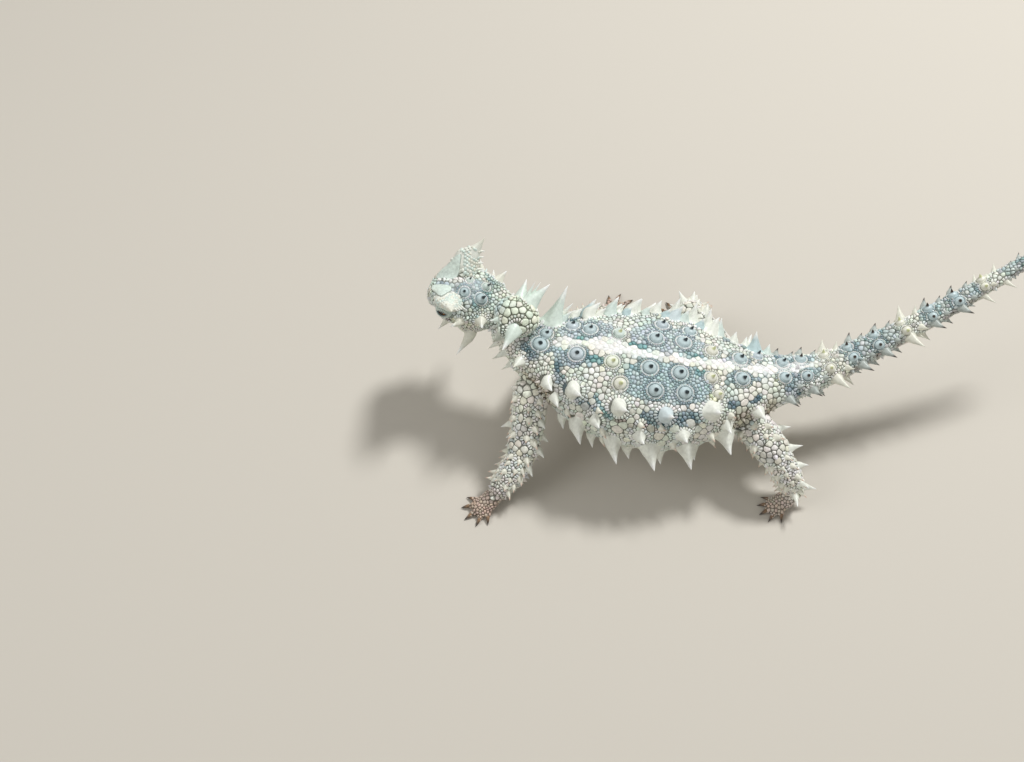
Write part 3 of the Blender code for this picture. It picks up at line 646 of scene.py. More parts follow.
def spineColour(points, x, angle):
    # ragged edges come from shifting the place by a little noise
    degree = degreeAt(x)
    xs = x + .55 * wander(points, 2.2, 1)
    spun = angle + .55 * wander(points, 2.4, 2) / degree
    side = np.abs(angle)
    colour = painted(len(points), "cream", ("mint", .5 + .5 * wander(points, 7, 0)),
                     ("white", within(side, 14, 100, 20) * (.25 + .3 * wander(points, 5, 1))))
    dark = np.zeros(len(points))
    for kind, x0, x1, a0, a1 in patches:
        half = (x1 - x0) / 2
        ax = np.abs(xs - (x0 + x1) / 2) / half
        aa = np.abs(spun - (a0 + a1) / 2) / ((a1 - a0) / 2)
        share = np.clip((1 - (ax**4 + aa**3) ** .3) * half * 1.6 + .5, 0, 1)
        colour = blend(colour, (kind, share))
        if kind in ("blue", "lilac", "ice"):  # dark jagged border
            edge = 1.4 if kind == "ice" else 2.6
            colour = blend(colour, ("slate", edge * share * (1 - share)))
        if kind != "yellow":
            dark = np.maximum(dark, share)
    for kind, x0, a0, x1, a1, wide in bars:
        px, pa = (x1 - x0), (a1 - a0) * degree
        qx, qa = xs - x0, (spun - a0) * degree
        share = np.clip((qx * px + qa * pa) / (px * px + pa * pa), 0, 1)
        gap = np.hypot(qx - share * px, qa - share * pa)
        paint = np.clip((wide - gap) / .5 + .5, 0, 1)
        colour = blend(colour, (kind, paint))
        if kind != "white":
            dark = np.maximum(dark, paint)
    # tail: pale bands, with blue-grey and brown between them
    tail = fade(x, 46, 3)
    halfStep = tailBands["step"] / 2
    phase = np.abs((xs - tailBands["paint"] + halfStep) % tailBands["step"] - halfStep)
    band = np.clip(phase - 3.1 + .5, 0, 1) * tail
    top = fade(side, 96, -14)
    colour = blend(
        colour, ("lilac", dark * (.2 + .5 * wander(points, 3.2, 0))),  # flecks among the blue
        ("cream", (1 - band) * tail * .6), ("grey", band * (.4 + .3 * top)),
        ("blue", band * top * (.45 + .4 * wander(points, 2.8, 1))),
        ("slate", band * top * (.12 + .4 * wander(points, 3.6, 2))),
        ("brown", band * within(side, 60, 120, 16) * (.35 + .4 * wander(points, 2.4, 2))),
        ("teal", band * within(side, 18, 46, 8) * (.1 + .5 * wander(points, 2, 0))))
    dark = np.maximum(dark, band * .6)
    # folds in front of the hip and behind the arm
    for x0, x1, a0, a1 in ((21, 33, 62, 118), (-27.5, -20.5, 76, 128)):
        fold = within(x, x0, x1, 4) * within(side, a0, a1, 14)
        colour = blend(colour, ("tan", fold * .75))
    belly = fade(side, 118, 14)
    stripe = stripeShare(points, x, angle)
    colour = blend(colour, ("cream", belly * .8),
                   ("tan", belly * np.clip(wander(points, 8, 2) * 2 - .2, 0, .9)),
                   ("brown", belly * np.clip(wander(points, 6, 0) * 3 - 1.5, 0, .6)),
                   ("white", stripe))
    return colour, np.clip(dark * (1 - stripe), 0, 1), belly


def mouthGap(local):
    # distance from the line of the closed mouth, which turns up a little at its corner
    line = -2.3 + .1 * np.sin(local[:, 0] * 1.3) + .5 * fade(local[:, 0], 7, 4) ** 2
    return np.abs(local[:, 2] - line) + np.clip(local[:, 0] - 11, 0, 9)


def nostrilGap(local):
    place = np.stack((local[:, 0], np.abs(local[:, 1]), local[:, 2]), 1)
    return norm(place - (1.25, 2.75, 1.1), axis=1)


def headColour(points, local):
    back, aside, up = local.T
    crown = within(aside, -3.1, .7, .6) * fade(up, 1.6, 1) * within(back, 2.6, 15, 1.2)
    crown = np.maximum(crown, within(aside, -4.2, 3.4, .8) * within(back, 8.8, 15.5, 1) * (up > 2))
    nape = within(back, 13.8, 19, 1.4) * fade(up, 1, 2)
    cheek = within(np.abs(up + 2), -1, 3.6, 1) * within(back, 9, 18, 2) * fade(np.abs(aside), 5, 1)
    lip = within(up, -3.6, -.9, .8) * within(back, 0, 9, 2)
    around = np.hypot(back - eye["place"][0], up - eye["place"][2])
    socket = within(around, 1.6, 2.9, .6) * np.clip((np.abs(aside) - 4.5) / .8, 0, .75)
    colour = painted(
        len(points), "mint", ("cream", .45 + .6 * wander(points, 3, 0)), ("lilac", crown * .75),
        ("teal", nape * (.3 + .4 * wander(points, 2, 2))), ("cream", cheek),
        ("yellow", cheek * np.clip(wander(points, 2.4, 1), 0, .35)), ("white", lip * .5),
        ("tan", fade(up, -4.2, -1) * (.35 + .5 * wander(points, 4, 1))),
        # painted shade: umber along the closed mouth and in the nostrils, where the skin is only
        # pressed in
        ("umber", np.clip(1.3 - mouthGap(local) / .3, 0, .85)),
        ("umber", np.clip(1.6 - nostrilGap(local) / .4, 0, .9)), ("slate", socket))
    for spot in ((6.6, 2.2), (10.6, -2.6), (4.3, 0), (8.4, .2)):
        gap = np.hypot(back - spot[0], aside - spot[1])
        colour = blend(colour, ("slate", np.clip((.65 - gap) / .3, 0, .8) * fade(up, 3, 1)))
    return colour, crown * .6


def limbColour(points, along, angle, arm):
    ring = np.clip(wander(points, 3.6, 1) * 1.8 - .35, 0, 1) * within(along, .3, 2, .3)
    fleck = np.clip(wander(points, 2.6, 2) * 2.4 - 1.5, 0, .45) * within(along, .4, 1.9, .3)
    foot = fade(along, 1.9, .25)
    colour = painted(
        len(points), "cream", ("white", .5 + .4 * wander(points, 4, 0)), ("grey", ring * .5),
        ("slate", fleck), ("tan", within(np.abs(angle), 120, 200, 30) * .4),
        ("lilac", within(along, 1.25, 2, .3) * .2 * arm),
        ("tan", within(along, 1.6, 2.05, .35) * .25), ("hand", foot * (.8 if arm else .55)),
        ("rose", foot * np.clip(wander(points, 2.6, 0), 0, .4)))
    return colour, np.clip(ring * .5, 0, 1)


def paleSeamShare(dark, points, part, along, angle):
    # where the seams stay pale: along the white line, partly in the blue patches and on the crown
    spine = np.maximum(stripeShare(points, along, angle), .35 * dark)
    return np.where(part == 0, spine, np.where(part == 1, dark, 0))


def markings(points, part, along, angle):
    # colour of the scales, share of dark marking, spacing of the scales in mm, height, flatness
    count = len(points)
    colour, dark = np.zeros((count, 3)), np.zeros(count)
    spacing, rise, crown = np.full(count, 1.2), np.full(count, .3), np.full(count, .55)
    for number in range(7):
        here = part == number
        if not here.any():
            continue
        at, way, turn = points[here], along[here], angle[here]
        if number == 0:
            colour[here], shade, belly = spineColour(at, way, turn)
            side = np.abs(turn)
            s = 1.34 - .48 * shade
            s = s + 1.15 * within(side, 54, 112, 16) * within(way, -24, 28, 8) * (1 - shade)
            s = np.where(way > 36, 1.12 - .2 * fade(way, 80, 34), s)
            s = s * (1 - .28 * within(way, 20, 33, 4) * within(side, 62, 118, 14))
            s = s * (1 - .3 * within(way, -27.5, -20.5, 4) * within(side, 76, 128, 14))
            spacing[here] = s * np.where(way < -24, .84, 1) * (1 + .2 * wander(at, 2.4, 2))
            stripe = stripeShare(at, way, turn)
            dark[here], rise[here] = shade, .2 + .12 * shade - .07 * stripe
            crown[here] = .74 - .2 * shade + .04 * belly + .12 * stripe
        elif number == 1:
            local = (at - snout) @ headAxes.T
            colour[here], dark[here] = headColour(at, local)
            place = np.stack((local[:, 0], np.abs(local[:, 1]), local[:, 2]), 1)
            lips = np.clip(1.6 - mouthGap(local), 0, 1)
            s = (.95 - .3 * fade(place[:, 0], 6, -6)) * (1 - .2 * lips)
            smooth = dark[here] / .6
            near = norm(place - np.array(eye["place"]), axis=1)
            spacing[here] = np.where(near < 3.1, .6, s) + .25 * smooth
            rise[here], crown[here] = .26 - .12 * smooth, .62 + .16 * smooth
        elif number == 2:
            ahead, aside, up = ((at - knobCentre) @ knobAxes.T).T
            colour[here] = painted(
                len(at), "knob", ("yellow", .06 + .15 * wander(at, 4, 1)),
                ("blue", np.clip((-ahead - 2.6) / 2.4, 0, .7)),
                ("mint", np.clip((np.abs(aside) - 4.2) / 2, 0, .6)),
                ("teal", np.clip((-up - 1.6) / 3, 0, .4)))
            spacing[here] = 1.05 + 1.05 * fade(up, -2.2, 2) * fade(ahead, -4.6, 2)
            rise[here], crown[here], dark[here] = .42, .66, 1.4
        else:
            colour[here], dark[here] = limbColour(at, way, turn, number < 5)
            spacing[here] = np.interp(way, (0, .35, 1, 1.35, 1.9, 2.1, 2.5, 3.1),
                                      (1.3, 1.9, 1.75, 1.3, 1.05, .8, .72, .64)) * (
                1 + .18 * wander(at, 2.6, 1))
            rise[here], crown[here] = np.interp(way, (0, 1, 2, 2.4), (.3, .34, .26, .2)), .5
    return colour, dark, spacing, rise, crown


# rows of thorns: angle from the midline, first x, step, count, length, radius, lean to the tail
neckRows = ((64, -34, 4.6, 2, 5, 1.8, -.2), (92, -31.8, 4.6, 2, 4.2, 1.5, -.8),
            (120, -34, 4.6, 2, 3.2, 1.2, -.6))
backBosses = (  # x, angle, radius, tint
    (-28.2, -9, 2.1, "disc"), (-18.7, -10, 2, "lilac"), (-9.3, -10, 1.8, "knob"),
    (1, -10, 2, "disc"), (9.3, -11, 1.95, "disc"), (17.6, -13, 1.6, "cream"),
    (25.8, -13, 1.8, "disc"), (-6.2, -28, 1.9, "cream"), (3, -28, 1.95, "disc"),
    (11, -28, 1.95, "disc"), (19.5, -31, 1.4, "cream"), (-28.4, 13, 1.7, "disc"),
    (-21.7, 30, 1.8, "lilac"), (-16.5, 20, 1.8, "disc"), (-8.6, 15, 1.7, "mint"),
    (2, 14, 1.9, "disc"), (9.6, 15, 1.9, "disc"), (18, 14, 1.6, "cream"),
    (25.8, 14, 1.8, "disc"), (3.4, 31, 1.7, "lilac"), (11.4, 31, 1.7, "disc"),
    (36.6, -18, 1.6, "disc"), (37.2, 16, 1.5, "disc"), (31, 30, 1.5, "lilac"),
)
farCones = (  # x, angle, length, radius on the right side alone
    (-26.6, 62, 7.2, 1.9), (-24.6, 50, 4, 1.8), (-21.8, 58, 4, 2), (-18, 56, 5.6, 2.6),
    (-14.6, 48, 3, 1.8), (-11.8, 54, 5.6, 2.5), (-9.2, 60, 2.8, 1.5), (-7.2, 46, 3, 1.9),
    (-4.4, 56, 4.3, 2.2), (-1.4, 50, 2.8, 1.6), (1.5, 57, 4.1, 2.2), (4.2, 48, 2.8, 1.7),
    (6.6, 58, 5.6, 2.4), (9.4, 50, 3.6, 1.9), (11.8, 58, 5.8, 2.5), (14.4, 48, 3, 1.7),
    (16.6, 56, 6, 2.5), (20, 56, 5, 2.2), (24.3, 54, 3.2, 1.8), (30.8, 54, 5.7, 2.5),
    (27.6, 60, 3, 1.6), (34.4, 56, 3, 1.5),
)
trunkRows = ((52, -17.2, 11.8, 4, 4.8, 3, 1.6), (78, -20.6, 10.6, 5, 3.6, 2.3, 1),
             (100, -13.6, 8.7, 5, 6.3, 3.3, 1.4), (119, -17.4, 7.9, 6, 4.2, 2, .8),
             (74, 28.8, 5, 1, 4.6, 2.2, 1.6), (66, -23.4, 5, 1, 4, 2.8, 1.2),
             (-64, -15.5, 5.4, 8, 2, 1.2, 1), (89, -17, 4.4, 10, 2.8, 1.3, 1),
             (110, -16, 4.3, 10, 2.6, 1.2, 1))
limbCones = (  # limb, joint number, angle, length, radius
    (2, .8, -144, 3.8, 1.7), (2, 1.16, -132, 4, 1.7), (2, 1.46, -120, 3, 1.5),
    (2, 1.86, -120, 3.6, 1.5), (2, 1.94, -36, 3.8, 1.3), (0, .68, 56, 3.8, 1.8),
    (0, .86, 78, 2.8, 1.5), (0, 1.04, 78, 2, 1.3), (0, .62, -96, 2.2, 1.5),
    (0, .8, -150, 2.8, 1.6), (0, .98, -110, 3, 1.6), (3, 1.16, -12, 3.8, 1.7),
    (3, 1.24, 24, 3, 1.5), (3, 1.1, -50, 3, 1.5), (3, 1.46, 24, 2.6, 1.4), (3, 1.82, 12, 3, 1.3),
    (3, .8, 10, 3, 1.6), (0, 1.3, -100, 2.6, 1.4), (0, 1.5, 80, 2.4, 1.3), (2, 1.7, -80, 2.6, 1.3),
)
tailRows = ((78, 37, 6.6, 8, 4.2, 1.9, 1.2), (122, 40, 6.6, 7, 2.4, 1.2, .8),
            (40, 92, 6, 3, 1.2, .8, .6), (88, 89, 5.6, 4, 2.8, 1.1, 1),
            (52, 40.3, 6.6, 8, 2.2, 1.1, .9), (98, 39.2, 3.3, 15, 1.7, .8, .8))
tailBossRow = (26, 42.5, 6.8, 8, 1.9, 1.6, .3)
headThorns = (  # root and tip as way back, aside, up; radius
    ((15.2, 7.6, -3.6), (12.9, 14.4, -6.2), 2.4), ((12.4, 7.6, .8), (10.6, 11.2, 2.2), 1.6),
    ((7.6, 5.8, -3.2), (5.8, 9.3, -4.8), 1.2), ((11.4, 1.9, 5.2), (12, 2.1, 7.4), 1.5),
    ((16, 2.1, 4.8), (17, 2.4, 7.4), 1.75), ((17.4, 6.4, 1.6), (18.9, 9.5, 3.3), 1.8),
    ((2.8, 3.4, 2), (2.2, 4.4, 3.6), .6), ((13.4, 5.6, -5), (12.8, 8.2, -8.6), 1.3),
)
crownThorns = (3, 4)  # numbers of those that are discs on the crown
knobThorns = (  # direction from the knob's centre, reach, radius
    ((.2, -.97, .08), 12.2, 2.9), ((.36, .83, .44), 12.2, 3), ((-.23, .91, .34), 10.5, 2.2),
    ((.08, .8, .59), 10.4, 1.1), ((.17, .87, .47), 11, 1), ((-.6, -.72, .2), 7.8, 1.2))
# rows on each limb: angle, first and last joint number, count, length, radius
limbRows = ((78, .32, .9, 4, 2.5, 1.25), (-78, .32, .9, 4, 2.5, 1.25), (10, .3, .85, 3, 2, 1.3),
            (44, .42, .82, 3, 1.5, 1.1), (-44, .42, .82, 3, 1.5, 1.1),
            (72, 1.16, 1.86, 5, 2.4, 1.1), (-72, 1.16, 1.86, 5, 2.4, 1.1),
            (4, 1.2, 1.7, 4, 1.6, 1.1), (38, 1.25, 1.75, 4, 1.3, .9),
            (-38, 1.25, 1.75, 4, 1.3, .9))
thorns = []


def thornOf(root, tip, radius, base, point, bend=(0, 0, 0), kind=""):
    return {"kind": kind, "root": np.asarray(root, float), "tip": np.asarray(tip, float),
            "radius": radius, "base": base, "point": point, "bend": np.asarray(bend, float)}


def addThorn(kind, *form):
    thorns.append(thornOf(*form, kind=kind))


def limbFar(point):
    # clear distance from a point to the nearest limb
    far = 99
    for limb in limbs:
        row = limbAt(limb, np.linspace(0, 1.5, 16))[0]
        far = min(far, float(np.min(norm(row[:, :3] - point, axis=1) - row[:, 3])))
    return far


def addRow(kind, row, base, point):
    # a row at a negative angle runs along the left side alone
    degrees, first, step, count, length, radius, lean = row
    for i in range(count):
        x = first + step * i
        for side in (-1, 1) if degrees > 0 else (1,):
            jitter = rng.uniform(-1, 1, 4)
            surface, normal, tangent = spinePoint(x + .4 * jitter[0],
                                                  (degrees + 2 * jitter[1]) * side)
            reach = length * (1 + .1 * jitter[2])
            wide = radius * (1 + .06 * jitter[3])
            colours = (base, point)
            away = (x - tailBands["thorns"]) / tailBands["step"]
            near = abs(away - round(away)) < .2  # in a pale band of the tail
            if kind == "tail":
                reach *= (1.25 if near else .85) * (.72 if side > 0 else 1)
                wide *= 1 if near else .85
                colours = (base, point) if near else ("grey", "umber")
            if kind == "boss" and near:
                colours = ("cream", "yellow")
            if degrees == 52 and 0 < x < 12:  # stands in the dark mark of the flank
                colours, reach, wide = ("ice", "white"), reach * .8, wide * .85
            tip = surface + normal * reach + tangent * lean
            if limbFar((surface + tip) / 2) < radius or limbFar(tip) < 1.2:
                continue
            clear = min(norm(surface - other["root"]) - other["radius"]
                        for other in thorns)
            if radius < 1.5 and clear < .4 * wide:  # small ones keep off the larger ones
                continue
            addThorn(kind, surface, tip, wide, *colours, tangent * lean * .35)


def limbRoot(limb, position, degrees):
    # foot of a thorn on a limb, the normal and the tangent there
    row, tangent, across, upward = limbAt(limb, position)
    turn = radians(degrees)
    normal = across * sin(turn) + upward * cos(turn)
    return row[:3] + normal * (row[3] - skinMake["inset"] - .2), normal, tangent


def addLimbThorns():
    for limb in limbs:
        for degrees, first, final, count, length, radius in limbRows:
            for i in range(count):
                position = first + (final - first) * i / (count - 1) + rng.uniform(-.03, .03)
                root, normal, tangent = limbRoot(limb, position, degrees + rng.uniform(-6, 6))
                size = rng.uniform(.85, 1.15)
                tip = root + normal * length * size + tangent * (.6 + .2 * length)
                section, _, side, up = spineAt(np.clip(tip[0], -38, 113))
                inBody = np.hypot((tip - section[:3]) @ side / (section[3] + 1.5),
                                  (tip - section[:3]) @ up / (section[5] + 1.5)) < 1
                if not inBody and tip[2] >= .5:
                    addThorn("limb", root, tip, radius * size, "cream", "rose", tangent * .3)
    for number, position, degrees, length, radius in limbCones:
        root, normal, tangent = limbRoot(limbs[number], position, degrees)
        addThorn("limb", root, root + normal * length + tangent * (.6 + .2 * length), radius,
                 "horn", "white", tangent * .3)


def addAllThorns():
    for x, degrees, radius, tint in backBosses:
        surface, normal, tangent = spinePoint(x, degrees)
        addThorn("boss", surface, surface + normal * 1.8 + tangent * .2, radius * 1.1, tint,
                 "ink" if tint in ("disc", "lilac") else "yellow", tangent * .4)
    for row in neckRows:
        addRow("neck", row, "horn", "cream")
    for row in trunkRows:
        addRow("trunk", row, *(("cream", "rose") if row[5] < 1.5 else ("horn", "white")))
    for number, (x, degrees, length, radius) in enumerate(farCones):
        surface, normal, tangent = spinePoint(x, degrees)
        addThorn("trunk", surface, surface + normal * length + tangent * .9, radius,
                 ("horn", "mint", "horn", "blue")[number % 4], "white", tangent * .4)
    # the great cone on the right shoulder
    addThorn("trunk", spinePoint(-29, 56)[0], (-19.8, 17.1, 38), 3.5, "plate", "white")
    for row in tailRows:
        addRow("tail", row, "cream", "cream")
    addRow("boss", tailBossRow, "disc", "umber")
    for number, (base, tip, radius) in enumerate(headThorns):
        for side in (-1, 1):
            root, end = headPoint(*base, side), headPoint(*tip, side)
            if number not in crownThorns:
                addThorn("head", root, end, radius, "cream", "white", headBack * .15)
                continue
            tone = "disc"
            if side > 0:  # the right ones on the crown are low and pale
                end, radius, tone = root + (end - root) * .8, radius * .7, "mint"
            addThorn("boss", root, end, radius, tone, "ink", headBack * .35)
    for direction, reach, radius in knobThorns:
        along = unit(knobAxes.T @ np.array(direction))
        addThorn("knob", knobCentre + along * (knob["sizes"][1] - radius * .5),
                 knobCentre + along * reach, radius, "plate", "white")
    addLimbThorns()


def setInputs(tree, node, inputs):
    # each input takes a value, a socket, or the first output in use of a node
    for socket, value in inputs.items():
        if isinstance(value, bpy.types.Node):
            value = next(output for output in value.outputs if output.enabled)
        if isinstance(value, bpy.types.NodeSocket):
            tree.links.new(value, node.inputs[socket])
        else:
            node.inputs[socket].default_value = value


def addNode(tree, kind, inputs=None, **settings):
    # a kind without the word Node gets the prefix of its tree
    node = tree.nodes.new(kind if "Node" in kind else tree.bl_idname.replace("Tree", "") + kind)
    for name, value in settings.items():
        setattr(node, name, value)
    setInputs(tree, node, inputs or {})
    return node


def newTree(name, sockets):
    tree = bpy.data.node_groups.new(name, "GeometryNodeTree")
    tree.interface.new_socket("Geometry", in_out="OUTPUT", socket_type="NodeSocketGeometry")
    tree.interface.new_socket("Geometry", in_out="INPUT", socket_type="NodeSocketGeometry")
    for label, kind, value in (*sockets, ("Finish", "Material", None)):
        socket = tree.interface.new_socket(label, in_out="INPUT", socket_type="NodeSocket" + kind)
        if value is not None:
            socket.default_value = value
    return tree, tree.nodes.new("NodeGroupInput").outputs


def endTree(tree, given, source):
    # smooth faces, real geometry and its material
    smooth = addNode(tree, "SetShadeSmooth", {"Geometry": source})
    real = addNode(tree, "RealizeInstances", {"Geometry": smooth})
    painted = addNode(tree, "SetMaterial", {"Geometry": real, "Material": given["Finish"]})
    setInputs(tree, tree.nodes.new("NodeGroupOutput"), {"Geometry": painted})
    return tree


def runTree(made, tree, values, name):
    # applies a tree to an object, and leaves only the plain mesh
    modifier = made.modifiers.new(tree.name, "NODES")
    modifier.node_group = tree
    for item in tree.interface.items_tree:
        if item.in_out == "INPUT" and item.name in values:
            modifier[item.identifier] = values[item.name]
    return plainMesh(made, name)


def scaleTree():
    # turns each flat outline into a low domed scale of two storeys, closed underneath
    tree, given = newTree("domed_scales", (("Shoulder height", "Float", .62),
                                           ("Shoulder width", "Float", .9)))
    rise, crown, shoulder = (addNode(tree, "InputNamedAttribute", {"Name": name}, data_type="FLOAT")
                             for name in ("rise", "crown", "shoulder"))
    steep = addNode(tree, "ShaderNodeMath", {0: shoulder, 1: given["Shoulder height"]},
                    operation="MULTIPLY")
    side = addNode(tree, "ShaderNodeMath", {0: rise, 1: steep}, operation="MULTIPLY")
    rest = addNode(tree, "ShaderNodeMath", {0: rise, 1: side}, operation="SUBTRACT")
    base = addNode(tree, "StoreNamedAttribute", {"Geometry": given["Geometry"], "Name": "level"},
                   data_type="FLOAT", domain="POINT")
    form, top = base, True
    for height, width, tone in ((side, given["Shoulder width"], .62), (rest, crown, 1)):
        wall = addNode(tree, "ExtrudeMesh", {"Mesh": form, "Selection": top, "Individual": True,
                                             "Offset Scale": height}, mode="FACES")
        top = wall.outputs["Top"]
        ledge = addNode(tree, "ScaleElements",
                        {"Geometry": wall, "Selection": top, "Scale": width}, domain="FACE")
        form = addNode(tree, "StoreNamedAttribute", {"Geometry": ledge, "Selection": top,
                                                     "Name": "level", "Value": tone},
                       data_type="FLOAT", domain="POINT")
    under = addNode(tree, "FlipFaces", {"Mesh": base})
    joined = addNode(tree, "JoinGeometry", {"Geometry": form})
    setInputs(tree, joined, {"Geometry": under})
    closed = addNode(tree, "MergeByDistance", {"Geometry": joined, "Distance": 2e-7})
    return endTree(tree, given, closed)


def thornTree():
    # stands one thorn on each point, turned and sized by the point, then bends it
    tree, given = newTree("standing_thorns", (("Thorn shape", "Object", None),
                                              ("Bend", "Float", 1)))
    shape = addNode(tree, "ObjectInfo", {"Object": given["Thorn shape"]}).outputs["Geometry"]
    points = addNode(tree, "MeshToPoints", {"Mesh": given["Geometry"]})
    turn, size, lean = (addNode(tree, "InputNamedAttribute", {"Name": name},
                                data_type="FLOAT_VECTOR") for name in ("turn", "size", "bend"))
    rotation = addNode(tree, "FunctionNodeEulerToRotation", {"Euler": turn})
    stand = addNode(tree, "InstanceOnPoints", {"Points": points, "Instance": shape, "Scale": size,
                                               "Rotation": rotation})
    real = addNode(tree, "RealizeInstances", {"Geometry": stand})
    level = addNode(tree, "InputNamedAttribute", {"Name": "level"}, data_type="FLOAT")
    square = addNode(tree, "ShaderNodeMath", {0: level, 1: 2}, operation="POWER")
    share = addNode(tree, "ShaderNodeMath", {0: square, 1: given["Bend"]}, operation="MULTIPLY")
    offset = addNode(tree, "ShaderNodeVectorMath", {0: lean, "Scale": share}, operation="SCALE")
    return endTree(tree, given, addNode(tree, "SetPosition", {"Geometry": real, "Offset": offset}))


perMm = 1000  # pattern scale for one feature to a millimetre
mixing = {"data_type": "RGBA"}
multiplying = {"data_type": "RGBA", "blend_type": "MULTIPLY"}


def newMaterial(name, values, *patterns):
    # values are read from the mesh; patterns are noises: size of a feature in mm, detail
    material = bpy.data.materials.new(name)
    material.use_nodes = True
    tree = material.node_tree
    read = [addNode(tree, "Attribute", attribute_name=value) for value in values]
    place = addNode(tree, "TexCoord").outputs["Object"]
    noises = [addNode(tree, "TexNoise", {"Vector": place, "Scale": perMm / size, "Detail": detail})
              for size, detail in patterns]
    return material, tree, tree.nodes["Principled BSDF"], *read, *noises


def mottled(tree, colour, pattern, low, high):
    # a colour made darker and lighter by a pattern
    tone = addNode(tree, "MapRange", {0: pattern, 1: .3, 2: .7, 3: low, 4: high})
    shade = addNode(tree, "CombineColor", {0: tone, 1: tone, 2: tone})
    return addNode(tree, "Mix", {0: 1, 6: colour, 7: shade}, **multiplying)


def scaleFinish():
    # dry keratin scales: matt, a little sheen on the crown; each scale darker low down towards the
    # seams, partly the dark outline between the scales and partly painted shade
    material, tree, shader, tint, level, paleSeams, fine, coarse = newMaterial(
        "keratin_scales_dry", ("tint", "level", "paleSeams"), (.16, 3), (.7, 4))
    crown = addNode(tree, "MapRange", {0: level.outputs["Fac"], 1: .2, 2: .66, 3: .04})
    # painted shade in part: the tint darkened towards the foot of each scale, less where the seams
    # stay pale
    darkSeamAndShade = addNode(tree, "MapRange", {0: paleSeams.outputs["Fac"], 3: 1, 4: .12})
    dark = addNode(tree, "Mix", {0: darkSeamAndShade, 6: tint, 7: (.3, .3, .28, 1)}, **multiplying)
    body = addNode(tree, "Mix", {0: crown, 6: dark, 7: tint}, **mixing)
    setInputs(tree, shader, {
        "Base Color": mottled(tree, body, coarse, .8, 1.12),
        "Normal": addNode(tree, "Bump", {"Height": fine, "Strength": .6, "Distance": .000035}),
        "Roughness": addNode(tree, "MapRange", {0: fine, 1: .3, 2: .7, 3: .42, 4: .62}),
        "Specular IOR Level": .42, "IOR": 1.55})
    return material


def skinFinish():
    # living skin between the scales: thin, folded and darker than the scales
    material, tree, shader, tint, paleSeams, fine, wrinkle = newMaterial(
        "lizard_skin_between_scales", ("tint", "paleSeams"), (.22, 3), (.5, 5))
    darkSeamAndShade = addNode(tree, "MapRange", {0: paleSeams.outputs["Fac"], 3: 1, 4: .25})
    deep = addNode(tree, "Mix", {0: darkSeamAndShade, 6: tint, 7: (.2, .2, .18, 1)}, **multiplying)
    share = addNode(tree, "MapRange", {0: wrinkle, 1: .35, 2: .65, 4: .16})
    setInputs(tree, shader, {
        "Base Color": addNode(tree, "Mix", {0: share, 6: deep, 7: tint}, **mixing),
        "Normal": addNode(tree, "Bump", {"Height": fine, "Strength": .6, "Distance": .00006}),
        "Roughness": .62, "Specular IOR Level": .35, "IOR": 1.4})
    return material


def thornFinish():
    # thorn of solid keratin: smooth, faint growth rings, tip of another tone
    material, tree, shader, level, tint, tip, length, cloud = newMaterial(
        "keratin_thorn_polished_by_sand", ("level", "tint", "tipTint", "reach"), (.9, 4))
    level = level.outputs["Fac"]
    way = addNode(tree, "Math", {0: level, 1: length.outputs["Fac"]},
                  operation="MULTIPLY")  # mm along the thorn
    wobble = addNode(tree, "Math", {0: cloud, 1: .9, 2: way}, operation="MULTIPLY_ADD")
    wave = addNode(tree, "Math", {0: wobble, 1: tau / .42}, operation="MULTIPLY")
    ring = addNode(tree, "Math", {0: wave}, operation="SINE")
    share = addNode(tree, "MapRange", {0: level, 1: .55, 2: .8})
    body = addNode(tree, "Mix", {0: share, 6: tint, 7: tip}, **mixing)
    # the foot of a thorn and the groove of a disc darkened: partly their dark outline, partly
    # painted shade in the crease and the groove
    foot = addNode(tree, "MapRange", {0: level, 2: .08, 3: .1})
    dark = addNode(tree, "Mix", {0: 1, 6: body, 7: (.16, .17, .17, 1)}, **multiplying)
    body = addNode(tree, "Mix", {0: foot, 6: dark, 7: body}, **mixing)
    setInputs(tree, shader, {
        "Base Color": mottled(tree, body, cloud, .86, 1.06),
        "Normal": addNode(tree, "Bump", {"Height": ring, "Strength": .14, "Distance": .00003}),
        "Roughness": .4, "IOR": 1.55, "Specular IOR Level": .45})
    return material


def clawFinish():
    # worn claw: dark brown keratin, glossy, paler at the root
    material, tree, shader, level, streak = newMaterial("claw_keratin_worn", ("level",), (.5, 3))
    share = addNode(tree, "MapRange", {0: level.outputs["Fac"], 1: .1, 2: .7})
    body = addNode(tree, "Mix", {0: share, 6: (*toLinear("#8d7257"), 1),
                                 7: (*toLinear("#2e231b"), 1)}, **mixing)
    setInputs(tree, shader, {"Base Color": mottled(tree, body, streak, .75, 1.2),
                             "Roughness": .3, "IOR": 1.55})
    return material


def eyeFinish():
    # wet cornea over a dark brown iris with a round pupil; "ring" is the angle off the gaze
    material, tree, shader, ring, fleck = newMaterial("eye_wet_cornea", ("ring",), (.25, 4))
    ramp = addNode(tree, "ValToRGB", {0: ring.outputs["Fac"]})
    stops = ramp.color_ramp.elements
    stops[0].position, stops[0].color = .1, (*toLinear("#060505"), 1)
    stops[1].position, stops[1].color = .12, (*toLinear("#8a5c2a"), 1)
    for spot, code in ((.2, "#6b4522"), (.25, "#1a120c"), (.4, "#2c221b")):
        stops.new(spot).color = (*toLinear(code), 1)
    setInputs(tree, shader, {"Base Color": mottled(tree, ramp, fleck, .7, 1.35), "Roughness": .12,
                             "IOR": 1.38, "Coat Weight": 1, "Coat Roughness": .03})
    return material


